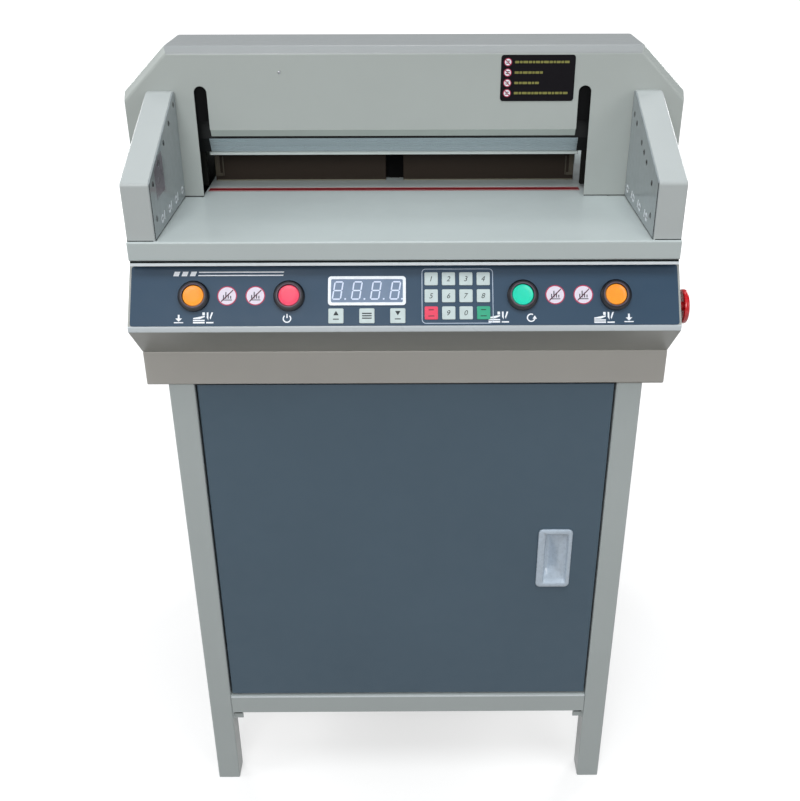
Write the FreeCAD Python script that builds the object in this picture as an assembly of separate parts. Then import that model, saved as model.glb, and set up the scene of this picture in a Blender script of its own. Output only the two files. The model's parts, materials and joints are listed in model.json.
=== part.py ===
import FreeCAD, Part
import math
import os

# Electric paper cutter on a cabinet stand, in millimetres.
# Everything is drawn about the middle of the table's front edge, on its top face:
# X to the right, Y to the back, Z up. The finished solids are moved once, so that
# the origin is under the middle of the whole machine, on the floor.

V = FreeCAD.Vector
X_AXIS = V(1, 0, 0)
Y_AXIS = V(0, 1, 0)
Z_AXIS = V(0, 0, 1)
ORIGIN = V(0, 0, 0)

# Clearances
RUN = 0.05          # radial, of a shaft in its bearing
MOVE = 0.5          # between pieces that pass each other
FIT = 0.3           # between a key or a button and its hole

# Work table
table_height = 826.0        # floor to the table's top
table_over = 5.0            # of the table past the base, on each side
table_thick = 21.5
table_depth = 704.0
table_edge = 2.0            # radius of its front edges
neck_over = 2.5             # of the table inside the head, past the opening
lay_thick = 10.0
lay_height = 45.0
lay_gap = 2.0
lay_end = 16.0

# Cutting line
cut_width = 455.0           # length of the cutting stick
cut_y = 191.0               # flat rear face of the knife
cut_centre = -13.5          # the opening sits left of the machine's middle
opening_over = 0.5          # of the opening past each end of the stick
stick_width = 13.0
stick_height = 13.0

# Head
head_depth = 139.0
head_room = 11.5            # over the knife beam
head_chamfer = 50.0
head_bevel = 7.5
head_flat = 87.0            # depth of the level top
head_rear_corner = 100.0
cover_space = 22.5          # from the side frame to the head's sheet
sheet = 2.0
window_top = 80.0           # lower edge of the front cover over the opening
lip_back = 3.5              # the bent lip under that edge
lip_drop = 8.0
slot_width = 14.5
slot_top = 130.0
rear_window_top = 85.0

# Side guards
guard_thick = 30.0
guard_front_in = 3.0         # behind the table's front edge
guard_front_height = 63.0
guard_rear_height = 125.5
guard_flat = 9.5
guard_round = 1.5
plate_thick = 1.2
plate_margin = 5.0
sensor_hole = 2.6
sensor_count = 5            # in the row of the left plate
sensor_end = 12.9           # from the rear sensor of the left plate to the head
sensor_left = 18.9          # front sensor behind the table's edge
sensor_right = 32.8
sensor_drop_left = 12.0     # of the row under the guard's slope
sensor_drop_right = 22.5
sensor_low_right = 24.5     # single lower sensor of the right plate behind the table's edge
sensor_low = 20.0           # height of the single lower sensor

# Machine base and side frames
base_front = 20.0
base_in = 17.0              # from the tray's rear to the base's
base_wall = 3.0
base_floor = 5.0
base_bottom = -137.0
channel_half = 60.0         # rear channel that carries the gauge screw
channel_room = 17.0         # under the screw's nut
channel_short = 10.0        # from its rear to the table's
channel_flange = 12.0       # round the channel, against the base
frame_thick = 8.0
frame_gap = 4.5             # from the knife beam to the base's side
frame_set = 6.0             # behind the head's front
frame_over = 6.0            # of the side frame over the upper beam
frame_shy = 3.8             # of the side frame under the head's chamfer
flange_gap = 1.0            # behind the knife
flange_thick = 8.0
flange_bottom = 5.0
boss_radius = 8.0
boss_low = 18.0             # lower bosses over the table
boss_front_in = 12.0        # from the side frame's front
boss_rear_in = 30.0         # from the head's rear
frame_bolt_in = 24.0        # bolts from the frame's front and the head's rear
frame_bolt_drop = 28.5      # upper bolts under the base's top
frame_bolt_rise = 22.0      # lower bolts over the base's foot
bolt_radius = 4.0
bolt_head_radius = 6.5
bolt_head = 6.0
bolt_socket = 3.2
bolt_socket_depth = 3.0

# Knife
edge_height = 47.0          # knife's edge over the table at rest
stick_gap = 0.3             # left between the edge and the stick at the foot of the stroke
knife_shift = 12.0          # to the right over the whole stroke
beam_gap = 4.0              # behind the front cover's sheet
beam_thick = 16.0
beam_over = 44.0            # of the beam past the opening
beam_corner = 12.0          # cut off the beam's upper corners
blade_thick = 8.0
blade_over = 11.0           # of the blade past the opening
blade_height = 80.0
blade_lap = 38.0            # of the blade on the beam
blade_bevel = 18.0
guide_pin = 10.0
guide_margin = 8.5          # of the beam round its guide slots
guide_head = 8.0            # radius of the pins' heads
guide_out = 20.5            # left pin from the end of the opening
guide_step = 11.0           # how much further out the right pin is
washer_gap = 1.2            # from the front cover to the guide pins' heads
bar_width = 12.0
arm_swing = 60.0            # degrees of the crank arms, half above level
shaft_radius = 11.0
arm_thick = 10.0
arm_radius = 13.0
hub_radius = 16.9
arm_gap = 4.0
yoke_wall = 9.0
yoke_floor = 9.05           # left under the yokes at the foot of the stroke
bearing_thick = 18.0
bearing_half = 22.0         # of the bearing post, before and behind the shaft
bearing_over = 19.8         # of the post over the shaft's axis
crank_pin = 5.0
crank_slack = 0.6

# Clamp
clamp_gap = 6.0             # behind the cutting line
clamp_thick = 28.0
clamp_height = 70.0
clamp_open = 41.0           # free height over the table
clamp_end_gap = 4.0         # from its ends to the ends of the opening
clamp_screw_radius = 7.0
clamp_room = 7.0            # over the clamp at rest
nut_floor = 6.0             # solid foot of the clamp under its nut bore
clamp_screw_gap = 3.0       # under the screw in that bore
upper_beam_height = 22.0
upper_beam_depth = 50.0

# Back gauge
gauge_gap = 2.7             # behind the clamp
gauge_end = 22.8            # of the table left behind its way
gauge_end_gap = 3.0         # from its ends to the ends of the opening
gauge_height = 60.0
gauge_body_half = 60.0
gauge_body_drop = 8.0       # of the body under the plate's top
gauge_plate = 12.0
gauge_notch = 22.0
gauge_body = 28.0
gauge_slot = 12.0
gauge_screw_radius = 6.0
gauge_screw_z = -46.0
nut_size = 28.0

# Motors
knife_motor_x = 90.0
gear_case = 60.0
gear_case_reach = 40.0      # round the rocker shaft
gear_case_edge = 6.0        # radius of its edges
knife_motor_radius = 36.0
knife_motor_length = 140.0
knife_motor_rise = 4.0      # over the base's floor
motor_cap = 8.0
motor_cap_in = 6.0
clamp_case_half = 28.0
clamp_case_gap = 4.0        # under the head's sheet
clamp_case_in = 2.0         # from the case's rear to the upper beam's
clamp_bore_cap = 4.0        # of the case over the screw's bore
clamp_screw_cap = 6.0       # of the case over the screw
clamp_motor_in = 0.6        # from the motor to the case's top and foot
clamp_motor_length = 110.0
gauge_motor_radius = 22.0
gauge_motor_length = 84.0
gauge_motor_nose = 25.0     # of the gearbox round the screw's end
gauge_pad_half = 16.0
gauge_pad_in = 30.0         # from the motor's front end
screw_start = 11.0          # from the screw's front end to the cutting line

# Control housing
panel_lip_reach = 26.0      # in front of the table's edge
panel_over = 3.5            # of the housing past the table
panel_low = -87.0           # foot of the sloping face
panel_lip = 6.0
panel_round = 2.2
panel_wall = 2.5
overlay_in = 2.5            # from the housing's ends
overlay_start = 12.3        # from the face's upper edge
overlay_foot = 1.0          # from the face's lower edge
overlay_round = 3.0
overlay_thick = 0.8
button_radius = 11.7
bezel_radius = 16.8
bezel_height = 6.0
bezel_depth = 20.0
bezel_wall = 2.0
bezel_slope = 1.8
button_proud = 5.2
button_round = 1.5
button_travel = 3.5
button_spare = 2.0          # of the barrel under a button pressed home
button_low = 0.55           # under the overlay's middle line
cut_button_in = 70.7        # from the housing's ends
power_x = -124.9
reset_x = 127.2
display_x = -41.0
display_row = 28.1          # down from the overlay's upper edge
display_width = 84.0
display_height = 32.0
display_round = 3.5
display_proud = 1.4
display_frame = 3.0
glass_deep = 0.8
glass_round = 1.9
pad_x = 56.6
pad_low = 0.75              # under the overlay's middle line
key_size = 14.2
key_pitch = 18.8
key_round = 1.2
menu_key = 16.2
menu_rise = 10.75           # over the overlay's lower edge
menu_pitch = 33.3
key_proud = 0.8
key_depth = 1.5
board_thick = 1.6
board_over = 4.0            # past the display and the keypad
board_in = 2.0              # from the overlay's upper and lower edges

# Emergency stop
stop_y = 3.0
stop_z = -77.0
stop_collar_radius = 15.0
stop_collar = 1.0
stop_knob_radius = 19.0
stop_knob = 5.0
stop_round = 3.0
stop_travel = 4.0
stop_stem = 5.0
stop_stem_in = 18.0         # of the stem inside the housing
stop_way = 3.0              # round the stem in the housing's wall

# Stand
tray_over = 9.0             # of the tray past the base, on each side
tray_front = 17.0
tray_depth = 520.0
tray_height = 42.5
tray_plate = 3.0
leg_in = 24.0               # from the tray's sides
leg = 30.0
leg_wall = 2.0
leg_round = 2.0
leg_foot = 6.0
shelf_height = 157.5        # floor to the shelf's top
rail_height = 30.0
tab_size = 14.0
door_thick = 18.0
door_skin = 1.5
door_gap = 3.0
door_side_gap = 2.2
door_inset = 2.0
shell_gap = 5.0             # behind the door
hinge_in = 10.0             # pin from the door's edge
hinge_back = 6.0            # pin behind the door's front face
hinge_pin = 3.0             # radius
knuckle_radius = 5.5
knuckle_length = 20.0
knuckle_cap = 4.0           # of the knuckle past the pin's end
handle_in = 55.2            # from the door's edge
handle_drop = 251.5         # under the door's top
handle_width = 43.0
handle_height = 90.0
handle_round = 6.0
handle_cup_round = 4.0
handle_pocket_round = 3.0
handle_lip = 3.0
handle_depth = 14.0
handle_wall = 2.0

# Mains inlet and its plate
inlet_plate_half = 52.0     # across
inlet_plate_rise = 33.0     # above and below the inlet's axis
inlet_plate_thick = 2.0
inlet_plate_lap = 9.0       # over the edges of the base's window
inlet_in = 110.0            # from the base's side
inlet_drop = 76.5           # under the base's top
inlet_width = 28.0
inlet_height = 22.0
inlet_depth = 24.0
inlet_rim = 6.0
inlet_rim_thick = 3.0
inlet_wall = 2.5
inlet_floor = 7.5
contact_thick = 2.0
contact_width = 4.0
contact_in = 3.0            # from the contacts' ends to the plate's face
contact_reach = 7.0
contact_low = 2.0
contact_high = 2.5

# Widths worked out from the sizes above
opening_half = cut_width / 2.0 + opening_over
neck_half = opening_half - cut_centre + neck_over
blade_half = opening_half + blade_over
beam_half = opening_half + beam_over
clamp_half = opening_half - clamp_end_gap
gauge_half = opening_half - gauge_end_gap
base_half = beam_half - cut_centre + frame_gap
rear_half = base_half
table_half = base_half + table_over
frame_out = base_half + frame_thick
head_half = frame_out + cover_space + sheet
panel_half = table_half + panel_over
overlay_half = panel_half - overlay_in
cut_button_reach = panel_half - cut_button_in
tray_half = base_half + tray_over
stand_half = tray_half - leg_in

# Levels and planes worked out from the sizes above
table_under = -table_thick
base_top = table_under
tray_rear = tray_front + tray_depth
base_rear = tray_rear - base_in
blade_front = cut_y - blade_thick
beam_front = blade_front - beam_thick
beam_mid = beam_front + beam_thick / 2.0
head_front = beam_front - beam_gap - sheet
head_rear = head_front + head_depth
head_flat_end = head_front + head_flat
sensor_pitch = (head_front - sensor_left - sensor_end) / (sensor_count - 1)
knife_drop = edge_height - stick_gap
stroke = math.hypot(knife_drop, knife_shift)
blade_top = edge_height + blade_height
beam_z = blade_top - blade_lap
pin_z = beam_z + guide_pin / 2.0 + guide_margin
beam_top = pin_z + knife_drop + guide_pin / 2.0 + guide_margin
beam_left = cut_centre - beam_half
beam_right = cut_centre + beam_half
guide_reach = opening_half + guide_out
pin_places = {-1: cut_centre - guide_reach, 1: cut_centre + guide_reach + guide_step}
head_top = beam_top + head_room
head_corner = head_top - head_chamfer
left_arm = beam_left + bar_width + knife_shift + arm_gap
right_arm = beam_right - bar_width - arm_gap - arm_thick
bearing_places = (left_arm + arm_thick + arm_gap, right_arm - arm_gap - bearing_thick)
frame_front = head_front + frame_set
flange_front = cut_y + flange_gap
flange_rear = flange_front + flange_thick
clamp_front = cut_y + clamp_gap
clamp_mid = clamp_front + clamp_thick / 2.0
arm_length = knife_drop / (2.0 * math.sin(math.radians(arm_swing / 2.0)))
arm_level = arm_length * math.cos(math.radians(arm_swing / 2.0))
beam_bottom = clamp_open + clamp_height + clamp_room
drive_top = beam_bottom + upper_beam_height
clamp_case_height = head_top - sheet - clamp_case_gap - drive_top
clamp_motor_radius = clamp_case_height / 2.0 - clamp_motor_in
frame_top = min(drive_top + frame_over, head_corner + cover_space - frame_shy)
yoke_half = (arm_length - arm_level) / 2.0 + crank_pin + crank_slack
yoke_drop = crank_pin + crank_slack + yoke_wall
shaft_z = base_bottom + base_floor + yoke_floor + yoke_drop + knife_drop / 2.0
shaft_y = beam_mid + (arm_length + arm_level) / 2.0
crank_z = shaft_z + knife_drop / 2.0
tray_top = base_bottom
tray_bottom = tray_top - tray_height
leg_front = tray_front + sheet
leg_rear = tray_rear - sheet - leg
stand_inner = stand_half - leg
shelf_top = shelf_height - table_height
door_top = tray_bottom - door_gap
door_bottom = shelf_top + door_gap
door_half = stand_inner - door_side_gap
door_front = leg_front + door_inset
door_rear = door_front + door_thick
shell_front = door_rear + shell_gap
handle_x = door_half - handle_in
handle_z = door_top - handle_drop
hinge_x = -door_half + hinge_in
hinge_y = door_front + hinge_back
face_top_y = base_front
face_top_z = table_under - MOVE
face_run = face_top_y + panel_lip_reach
face_drop = face_top_z - panel_low
panel_tilt = math.degrees(math.atan2(face_drop, face_run))
overlay_height = math.hypot(face_run, face_drop) - overlay_start - overlay_foot
button_row = overlay_height / 2.0 + button_low
pad_row = overlay_height / 2.0 + pad_low
menu_row = overlay_height - menu_rise
gauge_front = clamp_front + clamp_thick + gauge_gap
gauge_rear = gauge_front + gauge_plate + gauge_body
gauge_way_end = table_depth - gauge_end
screw_front = cut_y - screw_start
channel_rear = table_depth - channel_short
channel_bottom = gauge_screw_z - nut_size / 2.0 - channel_room - base_wall
inlet_x = base_half - inlet_in
inlet_z = base_top - inlet_drop
inlet_face = base_rear + inlet_plate_thick
overall_depth = panel_lip_reach + table_depth
floor_shift = V(0, panel_lip_reach - overall_depth / 2.0, table_height)

os.makedirs("parts", exist_ok=True)


def save(name, shape):
    """Move a finished piece to the floor frame and write it."""
    placed = shape.copy()
    placed.translate(floor_shift)
    placed.exportStep("parts/" + name + ".step")


def block(x0, x1, y0, y1, z0, z1):
    return Part.makeBox(x1 - x0, y1 - y0, z1 - z0, V(x0, y0, z0))


def rod(centre, axis, radius, length):
    return Part.makeCylinder(radius, length, centre, axis)


def ring(centre, axis, outer, inner, length):
    return rod(centre, axis, outer, length).cut(rod(centre, axis, inner, length))


def solid_from(corners, path):
    wire = Part.makePolygon(corners + [corners[0]])
    return Part.Face(wire).extrude(path)


def prism_x(points, x0, x1):
    """Prism along X from an outline of (y, z) points."""
    return solid_from([V(x0, y, z) for y, z in points], V(x1 - x0, 0, 0))


def prism_y(points, y0, y1):
    """Prism along Y from an outline of (x, z) points."""
    return solid_from([V(x, y0, z) for x, z in points], V(0, y1 - y0, 0))


def prism_z(points, z0, z1):
    """Prism along Z from an outline of (x, y) points."""
    return solid_from([V(x, y, z0) for x, y in points], V(0, 0, z1 - z0))


def inset_polygon(points, insets):
    """Outline with each edge moved inwards; points run anticlockwise, one inset an edge."""
    lines = []
    count = len(points)
    for i, inset in enumerate(insets):
        ax, ay = points[i]
        bx, by = points[(i + 1) % count]
        length = math.hypot(bx - ax, by - ay)
        nx = (ay - by) / length
        ny = (bx - ax) / length
        lines.append((nx, ny, nx * ax + ny * ay + inset))
    corners = []
    for i in range(count):
        a1, b1, c1 = lines[i - 1]
        a2, b2, c2 = lines[i]
        det = a1 * b2 - a2 * b1
        corners.append(((c1 * b2 - c2 * b1) / det, (a1 * c2 - a2 * c1) / det))
    return corners


def rounded_plate(width, height, radius, z0, z1):
    """Plate with round corners about the local origin, between two levels."""
    plate = block(-width / 2.0, width / 2.0, -height / 2.0, height / 2.0, z0, z1)
    upright = [edge for edge in plate.Edges if abs(edge.Length - (z1 - z0)) < 1e-6]
    upright = [e for e in upright if abs(e.Vertexes[0].Point.z - e.Vertexes[1].Point.z) > 1e-6]
    return plate.makeFillet(radius, upright)


def on_panel(shape, x, down):
    """Put a piece drawn on XY, with Z outwards, on the overlay's slope."""
    placed = shape.copy()
    placed.translate(V(x, -(overlay_start + down), 0))
    placed.rotate(ORIGIN, X_AXIS, panel_tilt)
    placed.translate(V(0, face_top_y, face_top_z))
    return placed


def mirrored(shape):
    return shape.mirror(ORIGIN, X_AXIS)


# Work table and cutting stick

def work_table():
    outline = [
        (-table_half, 0), (table_half, 0), (table_half, head_front - FIT),
        (neck_half, head_front - FIT), (neck_half, head_rear + FIT),
        (rear_half, head_rear + FIT), (rear_half, table_depth),
        (-rear_half, table_depth), (-rear_half, head_rear + FIT),
        (-neck_half, head_rear + FIT), (-neck_half, head_front - FIT),
        (-table_half, head_front - FIT),
    ]
    table = prism_z(outline, table_under, 0)
    front_edges = [e for e in table.Edges if e.Length > table_half and e.BoundBox.YMax < 1e-6]
    table = table.makeFillet(table_edge, front_edges)
    gauge_way = block(cut_centre - gauge_slot / 2.0, cut_centre + gauge_slot / 2.0,
                      gauge_front + gauge_plate + MOVE, gauge_way_end, table_under, 0)
    return table.cut(stick_space(FIT / 2.0)).cut(gauge_way)


def stick_space(slack):
    return block(cut_centre - cut_width / 2.0 - slack, cut_centre + cut_width / 2.0 + slack,
                 cut_y - stick_width / 2.0 - slack, cut_y + stick_width / 2.0 + slack,
                 -stick_height, 0)


def cutting_stick():
    return stick_space(0)


def rear_side_lays():
    """Two fences on the rear table, in line with the ends of the opening."""
    lays = []
    for side in (-1, 1):
        inner = flange_edge(side)
        outer = inner + side * lay_thick
        lays.append(block(min(inner, outer), max(inner, outer), head_rear + lay_gap,
                          table_depth - lay_end, 0, lay_height))
    return Part.makeCompound(lays)


# Head covers

def head_block(skin):
    """The head's outer form, or the space inside it when skin is the sheet's thickness."""
    section = [
        (-head_half, table_under), (head_half, table_under), (head_half, head_corner),
        (head_half - head_chamfer, head_top), (-head_half + head_chamfer, head_top),
        (-head_half, head_corner),
    ]
    mitre = skin * (math.sqrt(2.0) - 1.0)
    bevel = head_bevel + mitre
    full = inset_polygon(section, [skin] * 6)
    face = inset_polygon(section, [skin, skin, bevel, bevel, bevel, skin])
    y_face = head_front + skin
    y_full = head_front + bevel
    rims = []
    for points, y in ((face, y_face), (full, y_full)):
        corners = [V(x, y, z) for x, z in points]
        rims.append(Part.makePolygon(corners + [corners[0]]))
    body = Part.makeLoft(rims, True, True).fuse(prism_y(full, y_full, head_rear - skin))
    side = [
        (head_front, table_under), (head_rear, table_under), (head_rear, head_rear_corner),
        (head_flat_end, head_top), (head_front, head_top),
    ]
    side = inset_polygon(side, [skin] * 5)
    return body.common(prism_x(side, -head_half, head_half)).removeSplitter()


def head_shell():
    shell = head_block(0).cut(head_block(sheet))
    inside = frame_out + MOVE
    under = block(-inside, inside, head_front + sheet, head_rear - sheet,
                  table_under - 1.0, table_under + sheet + 1.0)
    neck = block(-neck_half - MOVE, neck_half + MOVE, head_front - 1.0, head_rear + 1.0,
                 table_under - 1.0, FIT)
    return shell.cut(under).cut(neck)


def knife_slot(side):
    """Upright slot with a round top at one end of the opening."""
    outer = cut_centre + side * (opening_half + FIT)
    inner = outer - side * slot_width
    low, high = min(outer, inner), max(outer, inner)
    radius = slot_width / 2.0
    straight = block(low, high, head_front - 1.0, head_front + sheet + 1.0, 0, slot_top - radius)
    centre = V((low + high) / 2.0, head_front - 1.0, slot_top - radius)
    return straight.fuse(rod(centre, Y_AXIS, radius, sheet + 2.0))


def head_front_cover():
    cover = head_shell().common(block(-head_half, head_half, head_front, head_flat_end,
                                      table_under, head_top))
    window = block(cut_centre - opening_half, cut_centre + opening_half,
                   head_front - 1.0, head_front + sheet + 1.0, 0, window_top)
    cover = cover.cut(window).cut(knife_slot(-1)).cut(knife_slot(1))
    lip_reach = opening_half - slot_width - FIT
    lip_outline = [
        (head_front, window_top), (head_front + lip_back, window_top - lip_drop),
        (head_front + lip_back + sheet, window_top - lip_drop), (head_front + sheet, window_top),
    ]
    lip = prism_x(lip_outline, cut_centre - lip_reach, cut_centre + lip_reach)
    return cover.fuse(lip).removeSplitter()


def head_rear_cover():
    cover = head_shell().common(block(-head_half, head_half, head_flat_end, head_rear,
                                      table_under, head_top))
    way = block(-neck_half - MOVE, neck_half + MOVE, head_flat_end, head_rear + 1.0,
                table_under - 1.0, rear_window_top)
    return cover.cut(way)


# Side guards with their sensor plates

def guard_outline():
    return [
        (guard_front_in, 0), (head_front - FIT, 0), (head_front - FIT, guard_rear_height),
        (head_front - FIT - guard_flat, guard_rear_height), (guard_front_in, guard_front_height),
    ]


def side_guard():
    """Right-hand guard: a sheet box, open at its foot."""
    outline = guard_outline()
    outer = prism_x(outline, table_half - guard_thick, table_half)
    outer = outer.makeFillet(guard_round, [e for e in outer.Edges if e.BoundBox.ZMin > 1.0])
    hollow = inset_polygon(outline, [0, sheet, sheet, sheet, sheet])
    hollow = prism_x(hollow, table_half - guard_thick + sheet, table_half - sheet)
    return outer.cut(hollow)


def sensor_plate(places, drop, low_y):
    """Right-hand plate with a row of sensors along the slope and a single lower one."""
    outline = inset_polygon(guard_outline(), [plate_margin] * 5)
    inner_face = table_half - guard_thick
    plate = prism_x(outline, inner_face - plate_thick, inner_face)
    rise = guard_rear_height - guard_front_height
    slope = rise / (head_front - FIT - guard_flat - guard_front_in)
    for y in places:
        z = guard_front_height + slope * (y - guard_front_in) - drop
        plate = plate.cut(rod(V(inner_face - plate_thick - 1.0, y, z), X_AXIS, sensor_hole,
                              plate_thick + 2.0))
    low = rod(V(inner_face - plate_thick - 1.0, low_y, sensor_low), X_AXIS, sensor_hole, plate_thick + 2.0)
    return plate.cut(low)


def sensor_plates():
    """Even row on the left; on the right one more between the second and third, and one half a step on."""
    left = [sensor_left + i * sensor_pitch for i in range(sensor_count)]
    right = [sensor_right + step * sensor_pitch for step in (0, 1, 1.5, 2, 3, 3.5)]
    return Part.makeCompound([sensor_plate(right, sensor_drop_right, sensor_low_right),
                              mirrored(sensor_plate(left, sensor_drop_left, sensor_left))])


# Base, side frames and upper beam

def frame_bolt_points():
    """Bolts of a side frame, as (y, z)."""
    columns = (frame_front + frame_bolt_in, head_rear - frame_bolt_in)
    rows = (base_top - frame_bolt_drop, base_bottom + frame_bolt_rise)
    return [(y, z) for y in columns for z in rows]


def boss_points():
    """Bosses that carry the head's covers, as (y, z)."""
    columns = (frame_front + boss_front_in, head_rear - boss_rear_in)
    rows = (boss_low, head_rear_corner - boss_radius)
    return [(y, z) for y in columns for z in rows]


def machine_base():
    base = block(-base_half, base_half, base_front, base_rear, base_bottom, base_top)
    base = base.cut(block(-base_half + base_wall, base_half - base_wall, base_front + base_wall,
                          base_rear - base_wall, base_bottom + base_floor, base_top))
    base = base.cut(channel_room_block(base_rear - 2.0 * base_wall, base_rear + 1.0))
    base = base.cut(plate_block(inlet_plate_lap, base_rear - 2.0 * base_wall, base_rear + 1.0))
    for y, z in frame_bolt_points():
        base = base.cut(rod(V(-base_half - 1.0, y, z), X_AXIS, bolt_radius + FIT, 2.0 * base_half + 2.0))
    return base.removeSplitter()


def bearing_posts():
    """Two posts on the base's floor, with the rocker shaft's bore through both."""
    bore = rod(V(-base_half, shaft_y, shaft_z), X_AXIS, shaft_radius + RUN, 2.0 * base_half)
    posts = [block(x, x + bearing_thick, shaft_y - bearing_half, shaft_y + bearing_half,
                   base_bottom + base_floor, shaft_z + bearing_over).cut(bore) for x in bearing_places]
    return Part.makeCompound(posts)


def channel_room_block(y0, y1):
    """The channel's inside, open at the top, between two planes."""
    return block(-channel_half + base_wall, channel_half - base_wall, y0, y1,
                 channel_bottom + base_wall, base_top)


def gauge_channel():
    """Trough behind the base for the gauge screw, with a flange against the base's rear wall."""
    reach = channel_half + channel_flange
    trough = block(-channel_half, channel_half, base_rear, channel_rear, channel_bottom, base_top)
    flange = block(-reach, reach, base_rear, base_rear + base_wall, channel_bottom - channel_flange, base_top)
    screw_way = rod(V(cut_centre, channel_rear - 3.0 * base_wall, gauge_screw_z), Y_AXIS,
                    gauge_screw_radius + RUN, 2.0 * base_wall)
    room = channel_room_block(base_rear, channel_rear - 2.0 * base_wall)
    return trough.fuse(flange).cut(room).cut(screw_way).removeSplitter()


def flange_edge(side):
    """Where the guide flange stops beside the paper's way."""
    return cut_centre + side * (opening_half + FIT)


def side_frame(side):
    """Side plate with its guide flange, guide pin and bosses; side is -1 left or 1 right."""
    inner, outer = side * base_half, side * frame_out
    slope = (head_rear - head_flat_end) / (head_top - head_rear_corner)
    behind = head_rear - 2.0 * frame_thick
    top_rear = behind - (frame_top - head_rear_corner) * slope
    outline = [(frame_front, base_bottom), (behind, base_bottom), (behind, head_rear_corner),
               (top_rear, frame_top), (frame_front, frame_top)]
    plate = prism_x(outline, min(inner, outer), max(inner, outer))
    edge = flange_edge(side)
    flange = block(min(edge, inner), max(edge, inner), flange_front, flange_rear,
                   flange_bottom, frame_top)
    frame = plate.fuse(flange)
    for y, z in frame_bolt_points():
        frame = frame.cut(rod(V(min(inner, outer) - 1.0, y, z), X_AXIS, bolt_radius + FIT,
                              frame_thick + 2.0))
    for y, z in boss_points():
        start = min(outer, side * (head_half - sheet))
        frame = frame.fuse(rod(V(start, y, z), X_AXIS, boss_radius, cover_space))
    pin_x = pin_places[side]
    washer_front = head_front + sheet + washer_gap
    frame = frame.fuse(rod(V(pin_x, washer_front, pin_z), Y_AXIS, guide_pin / 2.0,
                           flange_front - washer_front))
    frame = frame.fuse(rod(V(pin_x, washer_front, pin_z), Y_AXIS, guide_head,
                           beam_front - MOVE - washer_front))
    return frame.removeSplitter()


def frame_fasteners():
    bolts = []
    for side in (-1, 1):
        for y, z in frame_bolt_points():
            head_at = frame_out if side > 0 else -frame_out - bolt_head
            shank_at = base_half - base_wall if side > 0 else -frame_out
            head = rod(V(head_at, y, z), X_AXIS, bolt_head_radius, bolt_head)
            socket_at = frame_out + bolt_head - bolt_socket_depth if side > 0 else head_at
            socket = rod(V(socket_at, y, z), X_AXIS, bolt_socket, bolt_socket_depth)
            shank = rod(V(shank_at, y, z), X_AXIS, bolt_radius, frame_thick + base_wall)
            bolts.append(head.fuse(shank).cut(socket))
    return Part.makeCompound(bolts)


def upper_beam():
    beam = block(-base_half, base_half, flange_rear, flange_rear + upper_beam_depth,
                 beam_bottom, beam_bottom + upper_beam_height)
    hole = rod(V(cut_centre, clamp_mid, beam_bottom - 1.0), Z_AXIS, clamp_screw_radius + RUN,
               upper_beam_height + 2.0)
    return beam.cut(hole)


# Knife and its drive

def sloping_slot(x, y0, y1):
    """Guide slot in the knife beam, from the pin up and to the left by the stroke."""
    radius = guide_pin / 2.0 + FIT
    low = rod(V(x, y0, pin_z), Y_AXIS, radius, y1 - y0)
    high = rod(V(x - knife_shift, y0, pin_z + knife_drop), Y_AXIS, radius, y1 - y0)
    across_x = radius * knife_drop / stroke
    across_z = radius * knife_shift / stroke
    way = prism_y([(x - across_x, pin_z - across_z), (x + across_x, pin_z + across_z),
                   (x + across_x - knife_shift, pin_z + across_z + knife_drop),
                   (x - across_x - knife_shift, pin_z - across_z + knife_drop)], y0, y1)
    return low.fuse(high).fuse(way)


def pull_bar(x0, x1):
    """Bar from the knife beam down to its yoke, with the crank pin's level slot."""
    bar = block(x0, x1, beam_front, blade_front, crank_z, beam_z)
    yoke = block(x0, x1, beam_mid - yoke_half - yoke_wall, beam_mid + yoke_half + yoke_wall,
                 crank_z - yoke_drop, crank_z + yoke_drop)
    slot = block(x0 - 1.0, x1 + 1.0, beam_mid - yoke_half, beam_mid + yoke_half,
                 crank_z - crank_pin - crank_slack, crank_z + crank_pin + crank_slack)
    return bar.fuse(yoke).cut(slot)


def knife_beam():
    outline = [(beam_left, beam_z), (beam_right, beam_z), (beam_right, beam_top - beam_corner),
               (beam_right - beam_corner, beam_top), (beam_left + beam_corner, beam_top),
               (beam_left, beam_top - beam_corner)]
    beam = prism_y(outline, beam_front, blade_front)
    beam = beam.fuse(pull_bar(beam_left, beam_left + bar_width))
    beam = beam.fuse(pull_bar(beam_right - bar_width, beam_right))
    for x in pin_places.values():
        beam = beam.cut(sloping_slot(x, beam_front - 1.0, blade_front + 1.0))
    return beam.removeSplitter()


def knife_blade():
    outline = [
        (cut_y, edge_height), (cut_y, blade_top), (blade_front, blade_top),
        (blade_front, edge_height + blade_bevel),
    ]
    return prism_x(outline, cut_centre - blade_half, cut_centre + blade_half)


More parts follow.
